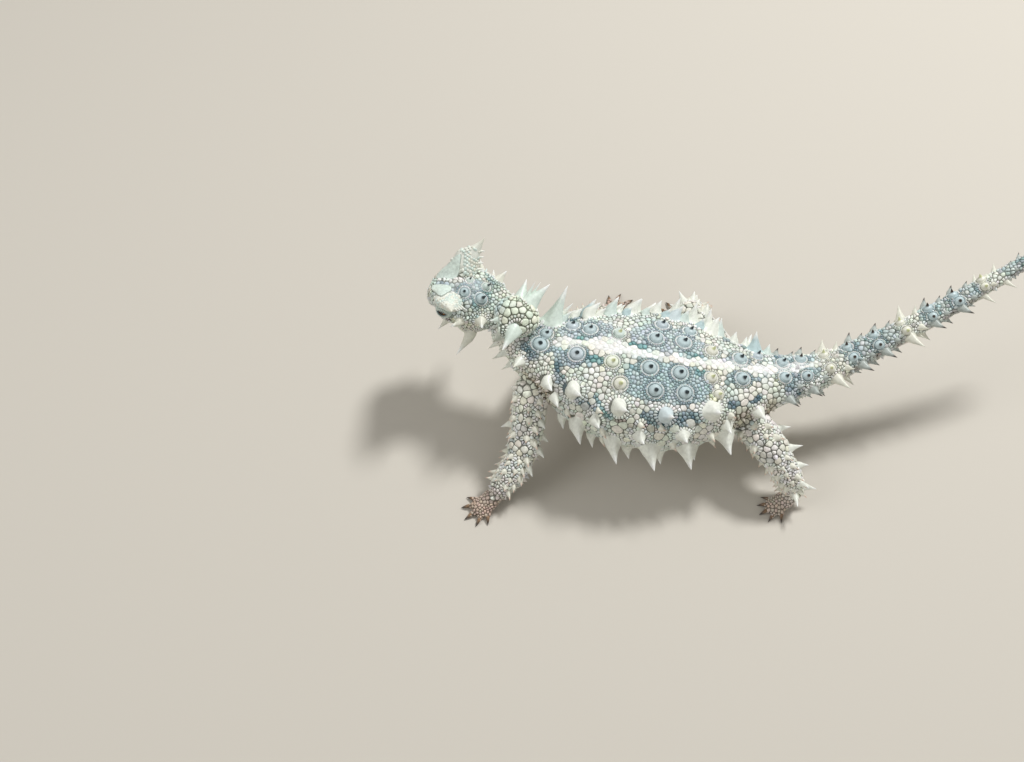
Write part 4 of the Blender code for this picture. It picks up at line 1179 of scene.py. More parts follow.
def keepApart(name, mesh, material, slot, nodes=()):
    # finished piece: plain mesh in metres, at the origin
    made = addObject(name, mesh)
    if not mesh.materials:
        mesh.materials.append(material)
    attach(made, "root")
    if nodes:
        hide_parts(*nodes)
    print(f"{name}: {sum(len(face.vertices) - 2 for face in mesh.polygons)} triangles")


def setValues(mesh, name, values, kind="FLOAT", domain="POINT"):
    mesh.attributes.new(name, kind, domain).data.foreach_set("value", values)


def setColours(mesh, name, colours, domain="POINT"):
    layer = mesh.attributes.new(name, "FLOAT_COLOR", domain)
    full = np.concatenate((colours, np.ones((len(colours), 1))), 1).astype(np.float32)
    layer.data.foreach_set("color", full.ravel())


def setUv(mesh, places):
    layer = mesh.uv_layers.new(name="OFBake")
    layer.data.foreach_set("uv", np.asarray(places, np.float32).ravel())


def siteOf(mesh, count):
    # number of the site that each face or point was made from
    site = np.empty(count, np.int32)
    mesh.attributes["site"].data.foreach_get("value", site)
    return site


def dropValues(mesh, *names):
    for name in names:
        if name in mesh.attributes:
            mesh.attributes.remove(mesh.attributes[name])


buildBody()
buildHead()
buildKnob()
for limb in limbs:
    buildLimb(limb)
skinPoints, skinQuads = fuse(skinMake["voxel"])
skinPoints = relaxSurface(skinPoints, skinQuads, skinMake["smooth"])
print("skin form:", len(skinPoints), "points")
addAllThorns()
formNormals = vertexNormals(skinPoints, skinQuads)
formTree = BVHTree.FromPolygons(skinPoints.tolist(), skinQuads.tolist())
for thorn in thorns:
    thorn["root"] = np.array(formTree.find_nearest(Vector(thorn["root"]))[0])
moundHeights = {"boss": .5, "trunk": .85, "tail": .4, "neck": .5, "limb": .25, "head": .3,
                "knob": .2}


def raiseMounds(points, normals):
    # the skin swells under each thorn, and folds where limbs bend
    lift = np.zeros(len(points))
    for thorn in thorns:
        wide = thorn["radius"] * 1.25
        peak = moundHeights[thorn["kind"]] * min(1, thorn["radius"] / 1.8)
        away = norm(points - thorn["root"], axis=1)
        lift = np.maximum(lift, peak * np.exp(-(away / wide) ** 2.4))
    part, along, angle = locate(points)
    side = np.abs(angle)
    body = part == 0
    for x0, x1, a0, a1, step in ((20, 33, 60, 120, 1.9), (-28, -20, 74, 130, 1.7)):
        fold = body * within(along, x0, x1, 4) * within(side, a0, a1, 16)
        lift = lift + fold * .26 * np.sin((along + .06 * side) * tau / step)
    neck = body * within(along, -35.5, -26, 3) * within(side, 40, 180, 30)
    lift = lift + neck * .2 * np.sin(along * tau / 2.3)
    local = (points - snout) @ headAxes.T
    head = part == 1
    lift = lift - head * .34 * np.exp(-(mouthGap(local) / .42) ** 2)
    lift = lift - head * .5 * np.exp(-(nostrilGap(local) / .45) ** 2)
    return points + normals * (lift + .1 * wander(points, 3.4, 0))[:, None]


skinPoints = raiseMounds(skinPoints, formNormals)
skinPoints[:, 2] = np.maximum(skinPoints[:, 2], .02)
skinTree = BVHTree.FromPolygons(skinPoints.tolist(), skinQuads.tolist())
for thorn in thorns:
    place, normal = map(np.array, skinTree.find_nearest(Vector(thorn["root"]))[:2])
    if thorn["kind"] == "boss":  # a disc lies flat on the skin
        way = thorn["tip"] - thorn["root"]
        reach = norm(way)
        thorn["tip"] = place + unit(normal + .2 * way / reach) * reach
    thorn["root"], thorn["normal"] = place, normal


def socketEyes(points):
    # presses the skin in round each eyeball, so that the ball sits in a socket
    for side in (-1, 1):
        away = points - eyeCentres[side]
        far = norm(away, axis=1)
        outward = away @ headRight * side
        inside = (far < eye["radius"] + .3) & (outward > -1.2)
        points[inside] -= headRight * side * np.clip(outward[inside] + .2, 0, 9)[:, None]
    return points


skinPoints = socketEyes(skinPoints)
skinPlace = locate(skinPoints)
skinColour, skinDark = markings(skinPoints, *skinPlace)[:2]
skinMesh = meshFrom("skin", toMetres(skinPoints), skinQuads.ravel(), np.full(len(skinQuads), 4))
setColours(skinMesh, "tint", skinColour)
setValues(skinMesh, "paleSeams", paleSeamShare(skinDark, skinPoints, *skinPlace))
cornerPart = skinPlace[0][skinQuads.ravel()].reshape(-1, 4)
firstPart = cornerPart[:, :1].repeat(4, 1).ravel()
cornerAngle = skinPlace[2][skinQuads.ravel()].reshape(-1, 4)
wrapped = np.where(np.ptp(cornerAngle, 1, keepdims=True) > 180, cornerAngle % 360, cornerAngle)
setUv(skinMesh, unwrap(firstPart, skinPlace[1][skinQuads.ravel()], wrapped.ravel()))
flesh = [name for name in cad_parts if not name.startswith(("eye", "horn"))]
keepApart("skin", skinMesh, skinFinish(), "body_skin", flesh)


scaleMake = {"tight": .9,  # least distance as a share of the spacing
             "rounds": 4, "neighbours": 13, "sides": 9, "sink": .16, "fill": .95,
             "sharp": 15,  # a higher value gives straighter sides
             "plateFrom": 1.45, "plateSides": 16}  # mm of spacing where a scale becomes a plate
# mm that the scales keep clear of what stands or opens in the skin
keepOff = {"thorn": .15, "eye": .75, "horn": .6, "brow": .4, "mouth": .24, "nostril": .42}
# share of the scales of a zone that end in a point
pointedShare = {"flank": .14, "limb": .4, "tail": .24, "neck": .3, "head": .1}


collarSizes = {"boss": (.42, .66), "limb": (.78,), "head": (.7, .8)}  # mm, one for each ring


def ringSites():
    # a collar of scales round each thorn, and a second one round the larger ones
    places, sizes, tone = [], [], []
    for number, thorn in enumerate(thorns):
        count = 2 if thorn["kind"] == "boss" or thorn["radius"] > 1.7 else 1
        across = unit(np.cross(thorn["normal"], (.3, .2, 1)))
        other = np.cross(thorn["normal"], across)
        radius = thorn["radius"]
        for level, size in enumerate(collarSizes.get(thorn["kind"], (.9, 1.1))[:count]):
            radius += size * .45
            total = max(6, round(tau * radius / size))
            for k in range(total):
                turn = tau * (k + .5 * level) / total
                aside = across * cos(turn) + other * sin(turn)
                places.append(thorn["root"] + aside * radius)
                sizes.append(size)
                tone.append((number, level))
            radius += size * .45
    return np.array(places), np.array(sizes), np.array(tone)


def dropOnto(points):
    # nearest points of the skin, and the normals there
    found, normals = np.empty_like(points), np.empty_like(points)
    for i, point in enumerate(points):
        found[i], normals[i] = skinTree.find_nearest(Vector(point))[:2]
    return found, normals


def hornRings(side):
    # a horn stands in the skin: its foot follows the surface, low growth rings run round it
    rings = []
    for share in np.linspace(horn["foot"] - .06, .985, horn["rings"]):
        ring = hornRing(share, side)
        centre = ring.mean(0)
        growth = .022 * sin(share * 15 * tau) * (1 - share) ** .5
        lumps = .03 * wander(ring, 1.8, 1) * (1 - share)
        rings.append(centre + (ring - centre) * (1 + growth + lumps)[:, None])
    for i, hold in enumerate((1, 1, .7, .4, .15)):
        place, normals = dropOnto(rings[i])
        rings[i] = rings[i] + (place - normals * (.5 if i == 0 else -.04) - rings[i]) * hold
    return np.array(rings)


def browRings(side, shares, lift):
    # the smooth plate in front of a horn: a sheet let down on the skin and the foot of the horn
    corners = [headPoint(*place, side) for place in browPlace]
    closed = np.array(corners + corners[:1])
    stops = np.linspace(0, len(corners), 56, endpoint=False)
    outline = np.stack([np.interp(stops, np.arange(len(closed)), way) for way in closed.T], 1)
    for _ in range(3):
        outline = outline + .25 * (np.roll(outline, 1, 0) + np.roll(outline, -1, 0) - 2 * outline)
    middle = outline.mean(0)
    spokes = outline - middle
    normal = unit(np.cross(spokes, np.roll(spokes, -1, 0)).sum(0))
    normal = normal * copysign(1, normal @ headUp)
    rings = []
    for share, height in zip(shares, lift):
        flat = middle + spokes * share
        rest = np.zeros(len(flat))
        for i, point in enumerate(flat):
            hit = headTree.ray_cast(Vector(point + normal * 5), Vector(-normal))[0]
            hit = hit or headTree.find_nearest(Vector(point))[0]
            rest[i] = (np.array(hit) - point) @ normal
        for _ in range(12):  # the sheet bridges the crease below the horn
            rest = np.maximum(rest, (np.roll(rest, 1) + np.roll(rest, -1)) / 2)
        rings.append(flat + normal * (rest + height)[:, None])
    return np.array(rings)


hornForms = {side: hornRings(side) for side in (-1, 1)}
headParts, headFaces = [skinPoints], skinQuads.tolist()
for form in hornForms.values():
    headFaces += tubeFaces(len(form), horn["sides"], sum(map(len, headParts)))
    headParts.append(form.reshape(-1, 3))
headTree = BVHTree.FromPolygons(np.concatenate(headParts).tolist(), headFaces)


def treeOf(points):
    tree = kdtree.KDTree(len(points))
    for i, point in enumerate(points):
        tree.insert(point, i)
    tree.balance()
    return tree


def chooseSites():
    candidates = np.concatenate((skinPoints, skinPoints[skinQuads].mean(1)))
    place = locate(candidates)
    spacing = markings(candidates, *place)[2]
    free = np.ones(len(candidates), bool)
    tree = treeOf(candidates)

    def clear(point, far):
        for _, j, _ in tree.find_range(point, far):
            free[j] = False

    for thorn in thorns:
        clear(thorn["root"], thorn["radius"] + keepOff["thorn"])
    for side in (-1, 1):
        clear(eyeCentres[side], eye["radius"] + keepOff["eye"])
        base, tip, axis = hornFrame(side)[:3]
        share = (candidates - base) @ axis / norm(tip - base)
        free &= (hornFar(candidates, side) > keepOff["horn"]) | (share < horn["foot"] - .02)
        fill = np.arange(.04, 1.02, .08)
        for point in dropOnto(browRings(side, fill, 0 * fill).reshape(-1, 3))[0]:
            clear(point, keepOff["brow"])
    local = (candidates - snout) @ headAxes.T
    free &= (place[0] != 1) | ((mouthGap(local) > keepOff["mouth"])
                               & (nostrilGap(local) > keepOff["nostril"]))
    rings, ringSizes, tone = ringSites()
    ringTree = treeOf(rings)
    keep = np.ones(len(rings), bool)
    for i, point in enumerate(rings):
        if not keep[i]:
            continue
        near = min(norm(point - thorn["root"]) - thorn["radius"] for thorn in thorns
                   if abs(thorn["root"][0] - point[0]) < 5)
        eyes = min(norm(point - eyeCentres[side]) for side in (-1, 1))
        if near < .12 or eyes < eye["radius"] + .7:
            keep[i] = False
            continue
        for _, j, _ in ringTree.find_range(point, ringSizes[i] * .72):
            if j > i:
                keep[j] = False
    rings, ringSizes, tone = rings[keep], ringSizes[keep], tone[keep]
    for point, size in zip(rings, ringSizes):
        clear(point, size * .86)
    chosen = []
    for i in rng.permutation(len(candidates)):
        if free[i]:
            chosen.append(i)
            clear(candidates[i], spacing[i] * scaleMake["tight"])
    sites = np.concatenate((rings, candidates[chosen]))
    return sites, np.concatenate((ringSizes, spacing[chosen])), len(rings), tone


def neighboursOf(sites, count):
    tree = treeOf(sites)
    near = np.empty((len(sites), count), int)
    for i, point in enumerate(sites):
        near[i] = [j for _, j, _ in tree.find_n(point, count + 1)][1:]
    return near


def settle(sites, sizes, fixed):
    # pushes the sites apart until they lie evenly
    for _ in range(scaleMake["rounds"]):
        near = neighboursOf(sites, 8)
        away = sites[:, None] - sites[near]
        gap = norm(away, axis=2)
        wanted = (sizes[:, None] + sizes[near]) * .52
        push = np.clip(wanted - gap, 0, None) / np.maximum(gap, 1e-6)
        move = (away * push[..., None]).sum(1) * .32
        move[:fixed] *= .15
        sites, normals = dropOnto(sites + np.clip(move, -.4, .4))
    return sites, normals


sites, siteSizes, ringCount, ringTone = chooseSites()
sites, siteNormals = settle(sites, siteSizes, ringCount)
print("scales:", len(sites))
sitePlace = locate(sites)
siteColour, siteDark, _, siteRise, siteCrown = markings(sites, *sitePlace)
sitePaleSeams = paleSeamShare(siteDark, sites, *sitePlace)
siteUv = unwrap(*sitePlace)


def paintCollars():
    # rings round a boss alternate pale and dark; round a pale thorn they stay pale
    for i, (number, level) in enumerate(ringTone):
        kind = thorns[number]["kind"]
        if kind == "boss":
            pale = thorns[number]["base"] in ("cream", "knob", "mint")
            tone, share = (("white", .75), ("slate", .15 if pale else .5))[level]
        elif kind in ("trunk", "knob", "neck"):
            tone, share = (("white", .45), ("mint", .3))[level]
        else:
            tone, share = "white", .35
        siteColour[i] += (tints[tone] - siteColour[i]) * share
        siteRise[i] *= .8 if kind == "boss" and level == 0 else 1.1
        siteCrown[i] = .66


def raisePoints():
    # some scales between the thorns end in a point
    part, along, angle = sitePlace
    side = np.abs(angle)
    spine = part == 0
    zones = {"tail": spine & (along > 36), "neck": spine & (along < -24) & (side > 30),
             "flank": spine & (side > 56) & (side < 125), "limb": (part > 2) & (along < 2),
             "head": (part == 1) & (side > 60)}
    draw, size = rng.uniform(0, 1, len(sites)), rng.uniform(.75, 1.25, len(sites))
    shoulder = np.ones(len(sites))
    for zone, mask in zones.items():
        pick = mask & (draw < pointedShare[zone]) & (siteSizes < scaleMake["plateFrom"])
        pick[:ringCount] = False
        siteRise[pick] = (siteSizes * .85 * size)[pick]
        siteCrown[pick], shoulder[pick] = .13, .3
        siteColour[pick] += (tints["white"] - siteColour[pick]) * .3
    return shoulder


paintCollars()
siteColour += (tints["cream"] - siteColour) * (.55 * (siteSizes > scaleMake["plateFrom"])
                                               * (sitePlace[0] != 2))[:, None]
siteShoulder = raisePoints()
siteColour *= (1 + .12 * rng.uniform(-1, 1, len(sites)))[:, None]
siteColour = np.clip(siteColour * (1 + .05 * rng.uniform(-1, 1, (len(sites), 3))), 0, .94)
siteRise *= 1 + .22 * rng.uniform(-1, 1, len(sites))


def outlines():
    # rounded polygon of each site: the shares of its neighbours, less half a seam
    near = neighboursOf(sites, scaleMake["neighbours"])
    across = unit(np.cross(siteNormals, (.31, .17, 1)))
    other = np.cross(siteNormals, across)
    away = sites[near] - sites[:, None]
    u, v = np.sum(away * across[:, None], 2), np.sum(away * other[:, None], 2)
    gap = np.maximum(np.hypot(u, v), .05)
    half = gap / 2 + (siteSizes[:, None] ** 2 - siteSizes[near] ** 2) / (8 * gap)
    half = np.maximum(half, .12)
    facing = np.sum(siteNormals[near] * siteNormals[:, None], 2)
    return across, other, np.arctan2(v, u), half, facing


siteAcross, siteOther, wayTo, halfWay, siteFacing = outlines()


def outlineAt(index, sides):
    # directions round each site, and how far its outline reaches there
    turns = np.linspace(0, tau, sides, endpoint=False)[None] + (index * 1.7 % 1)[:, None]
    towards = np.clip(np.cos(turns[:, None, :] - wayTo[index][:, :, None]), 0, None)
    towards = towards * (siteFacing[index] > .1)[:, :, None]
    sharp = scaleMake["sharp"]
    pull = (towards / halfWay[index][:, :, None]) ** sharp
    limit = siteSizes[index] * scaleMake["fill"]
    radius = (pull.sum(1) + (1 / limit[:, None]) ** sharp) ** (-1 / sharp)
    seam = .048 + siteDark[index] * np.where(sitePlace[0][index] < 2, -.006, .03)
    return turns, np.maximum(radius - seam[:, None], .1)


def layOn(index, turns, radius):
    # points of the skin round each site, and the normals there
    ahead = siteAcross[index][:, None] * (np.cos(turns) * radius)[..., None]
    aside = siteOther[index][:, None] * (np.sin(turns) * radius)[..., None]
    flat, normals = dropOnto((sites[index][:, None] + ahead + aside).reshape(-1, 3))
    return flat.reshape(ahead.shape), normals.reshape(ahead.shape)


domedScales = scaleTree()
scaleMaterial = scaleFinish()
plateRings = ((1, 0, 0), (1, .35, .3), (.95, .75, .6), (.84, 1, 1), (.45, 1.12, 1))


def makePlates(name, index, slot):
    # large plates bend with the skin: rings laid on it and raised to a low rounded table
    sides, count, number = scaleMake["plateSides"], len(plateRings), len(index)
    turns, radius = outlineAt(index, sides)
    rings = []
    for share, height, _ in plateRings:
        flat, normals = layOn(index, turns, radius * share)
        lift = siteRise[index] * height if height else np.full(number, -scaleMake["sink"])
        rings.append(flat + normals * lift[:, None, None])
    top = sites[index] + siteNormals[index] * (siteRise[index] * 1.14)[:, None]
    under = sites[index] - siteNormals[index] * scaleMake["sink"]
    points = np.concatenate((np.stack(rings, 1).reshape(number, -1, 3), top[:, None],
                             under[:, None]), 1)
    faces, last = tubeFaces(count, sides), (count - 1) * sides
    for k in range(sides):
        n = (k + 1) % sides
        faces += [(last + k, last + n, count * sides), (n, k, count * sides + 1)]
    corners, sizes = np.concatenate(faces), [len(face) for face in faces]
    offset = np.arange(number) * (count * sides + 2)
    mesh = meshFrom(name, toMetres(points.reshape(-1, 3)),
                    (corners[None] + offset[:, None]).ravel(), np.tile(sizes, number))
    level = tubeValues([tone for _, _, tone in plateRings], sides, 1, 0)
    setValues(mesh, "level", np.tile(level, number))
    setValues(mesh, "site", np.repeat(index, len(sizes)), "INT", "FACE")
    finishScales(name, mesh, slot)


def makeScales(name, index, slot):
    sides = scaleMake["sides"]
    flat = layOn(index, *outlineAt(index, sides))[0]
    flat = flat - siteNormals[index][:, None] * scaleMake["sink"]
    mesh = meshFrom(name, toMetres(flat.reshape(-1, 3)), np.arange(len(index) * sides),
                    np.full(len(index), sides))
    setValues(mesh, "rise", (siteRise[index] + scaleMake["sink"]) * .001, domain="FACE")
    setValues(mesh, "crown", siteCrown[index], domain="FACE")
    setValues(mesh, "shoulder", siteShoulder[index], domain="FACE")
    setValues(mesh, "site", index, "INT", "FACE")
    made = runTree(addObject(name + "_outline", mesh), domedScales,
                   {"Shoulder height": .66, "Shoulder width": .94, "Finish": scaleMaterial}, name)
    finishScales(name, made, slot)


def finishScales(name, mesh, slot):
    # colour of each scale, and its small patch of the unwrap
    site = siteOf(mesh, len(mesh.polygons))
    setColours(mesh, "tint", siteColour[site], "FACE")
    setValues(mesh, "paleSeams", sitePaleSeams[site], domain="FACE")
    points, corners = readMesh(mesh)
    total = np.empty(len(mesh.polygons), np.int32)
    mesh.polygons.foreach_get("loop_total", total)
    owner = np.repeat(site, total)
    away = points[corners] - toMetres(sites)[owner]
    patch = np.stack([np.sum(away * axes[owner], 1) / (siteSizes[owner] * .001)
                      for axes in (siteAcross, siteOther)], 1)
    setUv(mesh, siteUv[owner] + np.clip(patch, -.6, .6) * .0025)
    dropValues(mesh, "site", "rise", "crown", "shoulder")
    keepApart(name, mesh, scaleMaterial, slot)


def groupSites():
    part, along, angle = sitePlace
    side = np.abs(angle)
    back = (part == 0) & (along < 36)
    yield "scales_head", part == 1, "body_skin"
    yield "scales_knob", part == 2, "body_skin"
    yield "scales_back_left", back & (side < 116) & (angle < 0), "body_skin"
    yield "scales_back_right", back & (side < 116) & (angle >= 0), "body_skin"
    yield "scales_belly", back & (side >= 116), "body_skin"
    yield "scales_tail", (part == 0) & (along >= 36), "body_skin"
    for number, limb in enumerate(limbs):
        own = part == 3 + number
        yield "scales_" + limb["name"], own & (along < footFrom), "limb_skin"
        yield "scales_foot_" + limb["name"], own & (along >= footFrom), "foot_skin"


large = siteSizes >= scaleMake["plateFrom"]
for name, mask, slot in groupSites():
    if (mask & ~large).any():
        makeScales(name, np.flatnonzero(mask & ~large), slot)
    if (mask & large).any():
        makePlates(name.replace("scales", "plates"), np.flatnonzero(mask & large), slot)


def thornShape(name, sides, profile, keel=0):
    # unit thorn along Z; profile is height, radius, tone (0 dark at the foot, 1 at the tip)
    points, level = [], []
    for height, radius, tone in profile:
        for k in range(sides):
            turn = tau * k / sides
            wide = radius * (1 + keel * cos(turn * 4))
            points.append((cos(turn) * wide, sin(turn) * wide, height))
            level.append(tone)
    top = len(points)
    last = top - sides
    faces = tubeFaces(len(profile), sides)
    faces += [(last + k, last + (k + 1) % sides, top) for k in range(sides)]
    faces.append(tuple(reversed(range(sides))))
    mesh = listMesh(name, points + [(0, 0, 1)], faces)
    setValues(mesh, "level", level + [1])
    return addObject(name, mesh)


shapes = {
    "cone": thornShape("cone_shape", 16, (
        (-.12, 1.06, 0), (0, 1.04, 0), (.05, .97, .1), (.12, .8, .2), (.25, .58, .3),
        (.45, .37, .5), (.65, .23, .65), (.83, .12, .8), (.94, .05, .95)), .09),
    # a disc with a rim, a groove and a small peak
    "boss": thornShape("boss_shape", 18, (
        (-.3, 1, 0), (0, 1, 0), (.12, .99, .15), (.14, .95, .25), (.04, .9, 0), (.04, .8, 0),
        (.2, .75, .3), (.3, .56, .4), (.36, .36, .5), (.46, .25, .7), (.7, .16, 1), (.94, .05, 1))),
    "claw": thornShape("claw_shape", 10, (
        (-.1, .9, 0), (0, .95, 0), (.2, .9, .2), (.45, .68, .45), (.7, .4, .7), (.9, .15, .9))),
    "granule": thornShape("granule_shape", 8, (
        (-.5, .9, 0), (0, 1, .5), (.5, .85, .8), (.85, .5, .9))),
}
standingThorns = thornTree()


def makeThorns(name, chosen, shape, material, slot):
    roots, tips, radius, bends = (np.array([thorn[key] for thorn in chosen])
                                  for key in ("root", "tip", "radius", "bend"))
    axis, reach = unit(tips - roots), norm(tips - roots, axis=1)
    turns = [Vector(a).to_track_quat("Z", "Y").to_euler() for a in axis]
    mesh = listMesh(name + "_points", toMetres(roots).tolist())
    for label, values in (("turn", turns), ("size", np.stack((radius, radius, reach), 1) * .001),
                          ("bend", bends * .001)):
        layer = mesh.attributes.new(label, "FLOAT_VECTOR", "POINT")
        layer.data.foreach_set("vector", np.asarray(values, np.float32).ravel())
    setValues(mesh, "site", np.arange(len(chosen)), "INT")
    made = runTree(addObject(name + "_points", mesh), standingThorns,
                   {"Thorn shape": shapes[shape], "Bend": 1.0, "Finish": material}, name)
    site = siteOf(made, len(made.vertices))
    if shape in ("cone", "boss"):
        # the foot of each thorn follows the skin
        points = inMm(made)
        height = np.sum((points - roots[site]) * axis[site], 1) / reach[site]
        foot = np.clip(1 - height / .3, 0, 1) ** 1.5
        low = foot > 0
        place, normals = dropOnto(points[low])
        place = place - normals * np.where(height[low] < -.03, .45, .06)[:, None]
        points[low] += (place - points[low]) * foot[low][:, None]
        made.vertices.foreach_set("co", toMetres(points).astype(np.float32).ravel())
        made.update()
    for label, key in (("tint", "base"), ("tipTint", "point")):
        setColours(made, label, np.array([tints[thorn[key]] for thorn in chosen])[site])
    setValues(made, "reach", reach[site])
    points, corners = readMesh(made)
    owner = site[corners]
    across = unit(np.cross(axis, (.31, .17, 1)))
    away = (points[corners] - toMetres(roots)[owner]) / (radius[owner] * .002)[:, None]
    patch = np.stack([np.sum(away * axes[owner], 1)
                      for axes in (across, np.cross(axis, across))], 1)
    setUv(made, unwrap(*locate(roots))[owner] + np.clip(patch, -.6, .6) * .003)
    dropValues(made, "site", "turn", "size", "bend")
    keepApart(name, made, material, slot)


thornMaterial = thornFinish()
for name, kinds, shape in (("trunk", ("trunk",), "cone"), ("back_bosses", ("boss",), "boss"),
                           ("neck", ("neck", "knob"), "cone"), ("tail", ("tail",), "cone"),
                           ("head", ("head",), "cone"), ("limbs", ("limb",), "cone")):
    makeThorns("thorns_" + name, [thorn for thorn in thorns if thorn["kind"] in kinds], shape,
               thornMaterial, "thorn")

clawList = []
for limb in limbs:
    for start, direction, length in toeLines(limb):
        root, tip = start + direction * (length - .1), start + direction * (length + toe["claw"])
        root[2], tip[2] = toe["height"] + .05, .42
        clawList.append(thornOf(root, tip, .5, "brown", "umber", (0, 0, -.15)))
makeThorns("claws", clawList, "claw", clawFinish(), "claw")


def gridMesh(name, rings, *ends):
    # tube of quads over rings, with a fan to a point at either end, or open
    rings = np.asarray(rings, float)
    count, sides = rings.shape[:2]
    first, last = count * sides, (count - 1) * sides
    faces = tubeFaces(count, sides)
    if ends:
        faces += [((s + 1) % sides, s, first) for s in range(sides)]
        faces += [(last + s, last + (s + 1) % sides, first + 1) for s in range(sides)]
    mesh = listMesh(name, toMetres([*rings.reshape(-1, 3), *ends]).tolist(), faces)
    mesh.shade_smooth()
    return mesh


def outwardFaces(mesh):
    # turns the whole mesh round if its volume is negative
    points, _ = readMesh(mesh)
    mesh.calc_loop_triangles()
    corners = np.empty(len(mesh.loop_triangles) * 3, np.int32)
    mesh.loop_triangles.foreach_get("vertices", corners)
    a, b, c = (points[corners.reshape(-1, 3)[:, k]] - points.mean(0) for k in range(3))
    if np.sum(np.cross(a, b) * c) < 0:
        mesh.flip_normals()


def chartUv(mesh, left, bottom, along, count, sides, span=.1):
    # a small rectangle of the unwrap: the way along at each vertex, and the turn round the tube
    turn = np.concatenate((np.tile(np.arange(sides) / sides, count),
                           np.full(len(along) - count * sides, .5)))
    places = np.stack((left + span * np.asarray(along), bottom + span * turn), 1)
    setUv(mesh, places[readMesh(mesh)[1]])


browRows = ((1, -1.1, 0), (1, .1, .25), (.97, .24, .6), (.91, .3, 1), (.76, .32, 1),
            (.58, .33, 1), (.4, .34, 1), (.2, .34, 1))  # share of the outline, lift, tone


def makeHorn(side, word):
    sides, count, rings = horn["sides"], horn["rings"], hornForms[side]
    mesh = gridMesh("horn_" + word, rings, rings[0].mean(0), hornFrame(side)[1])
    level = tubeValues(np.linspace(0, .9, count), sides, 0, .85)
    outwardFaces(mesh)
    setValues(mesh, "level", level)
    setValues(mesh, "reach", [11.0] * len(level))
    setColours(mesh, "tint", painted(len(level), "horn"))
    setColours(mesh, "tipTint", painted(len(level), "cream"))
    chartUv(mesh, .55 if side < 0 else .7, .3, level, count, sides)
    keepApart(f"horn_{word}_keratin", mesh, thornMaterial, "horn", [f"horn_{word}"])
    # the smooth plate that runs up the front of the horn
    shares, lift, tone = np.array(browRows).T
    rings = browRings(side, shares, lift)
    count, sides = rings.shape[:2]
    middle = rings[-1].mean(0)
    mesh = gridMesh("brow_plate_" + word, rings, middle - hornFrame(side)[2] * .9, middle)
    outwardFaces(mesh)
    setValues(mesh, "level", tubeValues(tone, sides, 0, 1))
    points = inMm(mesh)
    setColours(mesh, "tint", painted(len(points), "plate",
                                     ("mint", .4 + .4 * wander(points, 3, 1))))
    chartUv(mesh, .05, .4 if side < 0 else .28, tubeValues(shares, sides, 0, 0), count, sides, .04)
    keepApart("brow_plate_" + word, mesh, scaleMaterial, "body_skin")
    hornScales(side, word)


def hornScales(side, word):
    # low scales climb the horn behind the plate, and small spines stand on its rear edge
    _, _, axis, long, _ = hornFrame(side)
    plate = treeOf(browRings(side, (1, .8, .6, .4, .2), np.zeros(5)).reshape(-1, 3))
    grains, spines = [], []
    for share in np.arange(.13, .72, .066):
        ring = hornRing(share, side)
        centre = ring.mean(0)
        steps = norm(np.roll(ring, -1, 0) - ring, axis=1)
        size = .6 * (1 - .5 * share)
        stops = np.arange(0, steps.sum(), size * 1.6) + rng.uniform(0, 1)
        for spot in np.interp(stops % steps.sum(), np.concatenate(((0,), np.cumsum(steps))),
                              np.arange(len(ring) + 1)):
            first, part = int(spot) % len(ring), spot % 1
            point = ring[first] * (1 - part) + ring[(first + 1) % len(ring)] * part
            point = point + axis * rng.uniform(-.15, .15)
            if plate.find(point)[2] < .85 or rng.uniform() < share - .3:
                continue
            outward = unit(unit(point - centre) + axis * .25)
            wide = size * rng.uniform(.85, 1.15)
            tone = ("cream", "mint", "horn", "plate")[int(rng.integers(4))]
            grains.append(thornOf(point - outward * .12, point + outward * wide * .38, wide,
                                  tone, tone))
    for share in (.14, .27, .4, .53, .66):
        ring = hornRing(share, side)
        root = ring[np.argmax(ring @ long)] - long * .25
        reach = unit(long + axis * .7) * (2.2 - 1.4 * share)
        spines.append(thornOf(root, root + reach, .62 - .3 * share, "horn", "white", axis * .2))
    makeThorns("horn_scales_" + word, grains, "granule", thornMaterial, "horn")
    makeThorns("horn_spines_" + word, spines, "claw", thornMaterial, "horn")


def makeEye(side, word, material):
    # ball with the cornea a little proud, looking out and slightly forward
    centre = eyeCentres[side]
    gaze = unit(headRight * side * .93 - headBack * .22 + headUp * .26)
    first = unit(np.cross(gaze, headUp))
    second = np.cross(first, gaze)
    count, sides = eye["rings"], eye["sides"]
    angles = np.linspace(.09, pi - .09, count)
    rings = []
    for angle in angles:
        radius = eye["radius"] * .97 * (1 + .035 * exp(-(angle / .55) ** 2))
        rings.append(ringOf(centre + gaze * cos(angle) * radius, first, second,
                            *[radius * sin(angle)] * 3, sides, 2))
    mesh = gridMesh("eye_" + word, rings, centre + gaze * eye["radius"] * 1.005,
                    centre - gaze * eye["radius"] * .97)
    outwardFaces(mesh)
    ring = tubeValues(angles / pi, sides, 0, 1)
    setValues(mesh, "ring", ring)
    chartUv(mesh, .84, .27 if side < 0 else .38, ring, count, sides, .09)
    keepApart(f"eyeball_{word}", mesh, material, "eye", [f"eye_{word}"])


lid = {"halfLength": 1.5, "up": .86, "down": .7,  # of the opening, mm over the ball
       # distance from the eye's centre, way out from the opening, tone
       "rings": ((1.94, 1, .2), (2.06, .93, .3), (2.24, 1, .5), (2.34, 1.22, .5), (2.3, 1.5, .4),
                 (2.26, 1.8, .4), (2.2, 2.1, .4), (1.9, 2.6, .4)),
       # the same for the rows of granules, with their number and radius
       "granules": ((2.27, 1.02, 30, .17), (2.31, 1.26, 26, .23), (2.27, 1.58, 24, .28),
                    (2.2, 1.95, 22, .34), (2.06, 2.34, 22, .38))}


